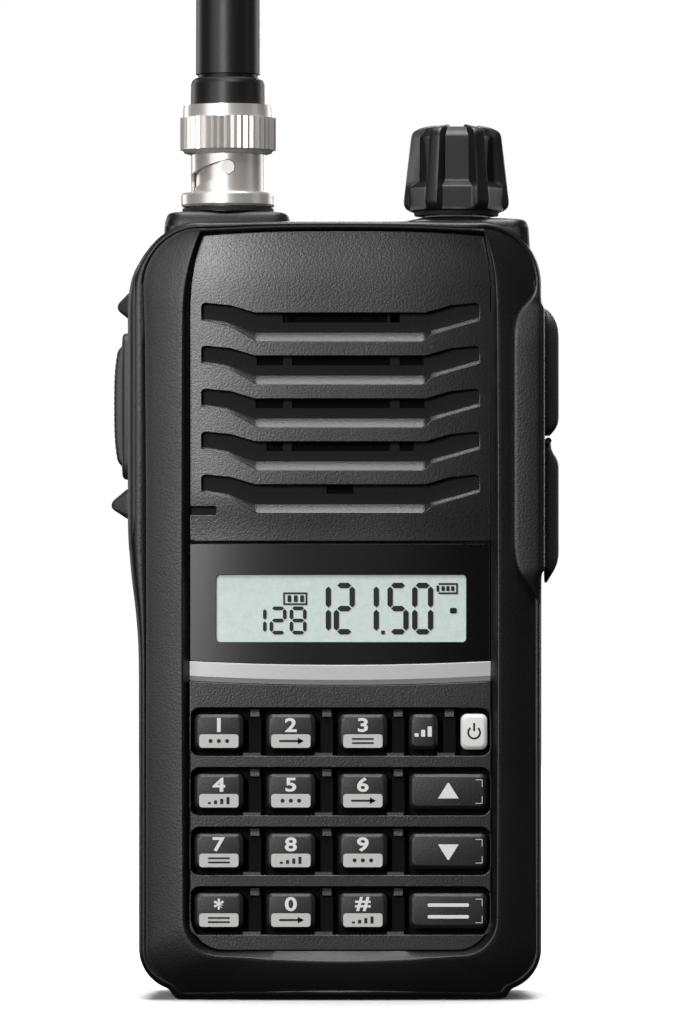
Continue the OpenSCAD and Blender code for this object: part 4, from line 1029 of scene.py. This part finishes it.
def knob():
    """Six flutes, each with a flat floor in two steps and a sloped ledge between them."""
    low, high = span("volume_knob")
    z0, z1 = low[2], high[2]
    skirt_h, skirt_r = KNOB_SKIRT[-1]
    profile = [(z0 + h, r) for h, r in KNOB_SKIRT]
    profile += [(z0 + h, skirt_r - (h - skirt_h) * KNOB_TAPER) for h in KNOB_SIDE]
    profile += [(z1 - d, r) for d, r in KNOB_RIM]
    floor_at = [(z0 + h, r) for h, r in FLUTE_SKIRT] + [(z1 - d, r) for d, r in FLUTE_RIM]
    half_at = [(z0 + 3.9, 18.2), (z0 + 5.1, 18.0)]      # half the floor's angle
    levels = []
    for z, r in profile:
        floor, half = table(floor_at, z), table(half_at, z)
        crest = half + 4.6
        open_at = smooth(z0 + 0.5, z0 + 1.0, z)
        right = [half / 2, half - 1.2, half, half + 1.4, half + 2.8, crest, crest + 2, 27]
        ring = []
        for centre in range(-90, 270, 60):
            for off in [-30] + [-a for a in right[::-1]] + [0] + right:
                share = min(1.0, max(0.0, (crest - abs(off)) / (crest - half)))
                if abs(off) == crest:
                    share = 0.06
                flat = min(r, floor / math.cos(math.radians(min(abs(off), half))))
                rr = r - (r - flat) * share * open_at
                a = math.radians(centre + off)
                ring.append((KNOB_X + rr * math.cos(a), KNOB_Y + rr * math.sin(a),
                             z - max(0.0, z - (z1 - KNOB_DISH)) * share))
        levels.append(ring)
    obj = Shape(levels).make("volume_knob_cap", "knob", "knob_rubber", angle=33)
    # painted shade: the faces of the foot under the skirt take the seal finish instead of the knob's, standing in
    # for the shadow under the knob
    obj.data.materials.append(M["seal"])
    for face in obj.data.polygons:
        if face.center.z < (z0 + KNOB_SHADE_TOP) * MM:
            face.material_index = 1
    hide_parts("volume_knob")


# ------------------------------------------------------------------ stage, light and camera

WORLD, SUN = 0.02, 4.2
# name, place, size and power of each lamp; all point at TARGET
LAMPS = (("near_left", (-0.47, -1.33, 0.29), (0.34, 0.50), 4.7),
         ("high_left", (-0.36, -1.32, 0.40), (0.20, 0.20), 4.0),
         ("far_left", (-0.85, -0.80, 0.32), (0.50, 0.90), 2.8),
         ("far_right", (0.95, -0.25, 0.20), (0.30, 0.60), 0.3),
         ("top_front", (-0.05, -0.55, 0.98), (0.70, 0.40), 6.6),
         ("back_light", (0.15, 1.3, 0.45), (0.6, 0.6), 8.0),
         ("back_left", (-1.0, 1.0, 0.35), (0.5, 0.7), 3.0),
         ("back_right", (1.0, 1.0, 0.35), (0.5, 0.7), 3.0))
TARGET = Vector((0, 0, 0.07))
# the camera's distance from the front, its height, and the height and middle of what it shows there
DISTANCE, EYE_Z, SHOWN, SHOWN_MID = 1.0, 0.058, 0.1485, 0.0709
SENSOR = 36


def stage_and_light():
    floor = bpy.data.meshes.new("floor")
    floor.from_pydata([(-6, -0.16, 0), (6, -0.16, 0), (6, 8, 0), (-6, 8, 0)], [], [(0, 1, 2, 3)])
    ground = add_object("floor", floor)
    ground.location.z = -0.00002
    floor.materials.append(finish_of("floor_finish", grey(0.80), 0.8, grain=400, bump=0.02, tone=0.01,
                                     broad=8, specular=0.1))
    ground.visible_glossy = False
    ground.visible_diffuse = False

    world = bpy.data.worlds.new("studio")
    bpy.context.scene.world = world
    world.use_nodes = True
    tree = world.node_tree
    around, backdrop = tree.nodes["Background"], tree.nodes.new("ShaderNodeBackground")
    for node in (around, backdrop):
        node.inputs["Color"].default_value = (1, 1, 1, 1)
    around.inputs["Strength"].default_value = WORLD
    path = tree.nodes.new("ShaderNodeLightPath")
    pick = tree.nodes.new("ShaderNodeMixShader")
    for i, output in enumerate((path.outputs["Is Camera Ray"], around.outputs[0], backdrop.outputs[0])):
        tree.links.new(output, pick.inputs[i])
    tree.links.new(pick.outputs[0], tree.nodes["World Output"].inputs["Surface"])

    for name, place, size, power in LAMPS:
        lamp = bpy.data.lights.new(name, "AREA")
        lamp.shape = "RECTANGLE"
        lamp.size, lamp.size_y = size
        lamp.energy = power
        obj = add_object(name, lamp)
        obj.location = place
        obj.rotation_euler = (TARGET - Vector(place)).to_track_quat("-Z", "Y").to_euler()
    sun = bpy.data.lights.new("overhead", "SUN")
    sun.energy, sun.angle = SUN, math.radians(40)
    add_object("overhead", sun).rotation_euler = (math.radians(-8), 0, 0)

    camera = bpy.data.cameras.new("camera")
    camera.sensor_fit = "VERTICAL"
    camera.sensor_width = camera.sensor_height = SENSOR
    camera.lens = SENSOR * DISTANCE / SHOWN
    camera.shift_y = (SHOWN_MID - EYE_Z) / SHOWN
    camera.clip_start, camera.clip_end = 0.05, 20
    eye = add_object("camera", camera)
    eye.location = (0.0002, FRONT * MM - DISTANCE, EYE_Z)
    eye.rotation_euler = (math.radians(90), 0, 0)
    bpy.context.scene.camera = eye
    bpy.context.scene.view_settings.view_transform = "Standard"


# ------------------------------------------------------------------ CAD nodes that stay as they are

# edge radius on the plain moulded nodes
ROUND_EDGES = {"battery_case": 0.5, "chassis": 0.25, "clip_arm": 0.35, "clip_bracket": 0.25,
               "battery_latch": 0.12}


def smooth_by_angle(angle):
    """A modifier's node group: smooth faces, with the edges sharper than angle kept sharp."""
    group = bpy.data.node_groups.new("smooth_by_angle", "GeometryNodeTree")
    for way in ("INPUT", "OUTPUT"):
        group.interface.new_socket("Geometry", in_out=way, socket_type="NodeSocketGeometry")
    new, link = group.nodes.new, group.links.new
    start, end = new("NodeGroupInput"), new("NodeGroupOutput")
    faces, edges = new("GeometryNodeSetShadeSmooth"), new("GeometryNodeSetShadeSmooth")
    edges.domain = "EDGE"
    edges.inputs["Shade Smooth"].default_value = False
    sharp = new("FunctionNodeCompare")
    sharp.operation = "GREATER_THAN"
    sharp.inputs["B"].default_value = math.radians(angle)
    link(new("GeometryNodeInputMeshEdgeAngle").outputs["Unsigned Angle"], sharp.inputs["A"])
    link(start.outputs[0], faces.inputs["Geometry"])
    link(faces.outputs[0], edges.inputs["Geometry"])
    link(sharp.outputs["Result"], edges.inputs["Selection"])
    link(edges.outputs[0], end.inputs[0])
    return group


def dress_cad():
    """Gives every CAD node its slot's finish, and rounds the edges of the plain moulded ones."""
    smooth_faces = smooth_by_angle(30)
    slots = {s["node"]: s["material_slot"] for s in frame["record"]["subparts"]}
    for name, obj in frame["nodes"].items():
        obj.data.materials.clear()
        obj.data.materials.append(look_of(slots[name]))
    for name, width in ROUND_EDGES.items():
        obj = frame["nodes"][name]
        weld = obj.modifiers.new("weld", "WELD")
        weld.merge_threshold = 1e-6
        flat = obj.modifiers.new("flat", "DECIMATE")
        flat.decimate_type = "DISSOLVE"
        flat.angle_limit = math.radians(1.5)
        shading = obj.modifiers.new("shading", "NODES")
        shading.node_group = smooth_faces
        edge = obj.modifiers.new("edges", "BEVEL")
        edge.width = width * MM
        edge.segments = 3
        edge.limit_method = "ANGLE"
        edge.angle_limit = math.radians(32)
        flats = obj.modifiers.new("flats", "WEIGHTED_NORMAL")
        flats.keep_sharp = True


dress_cad()
case_shell()
case_top()
lobe()
jack_cover()
pack_seal()
side_pad()
ptt()
side_keys()
grille()
window_and_strip()
keypad_plate()
keys()
knob()
stage_and_light()
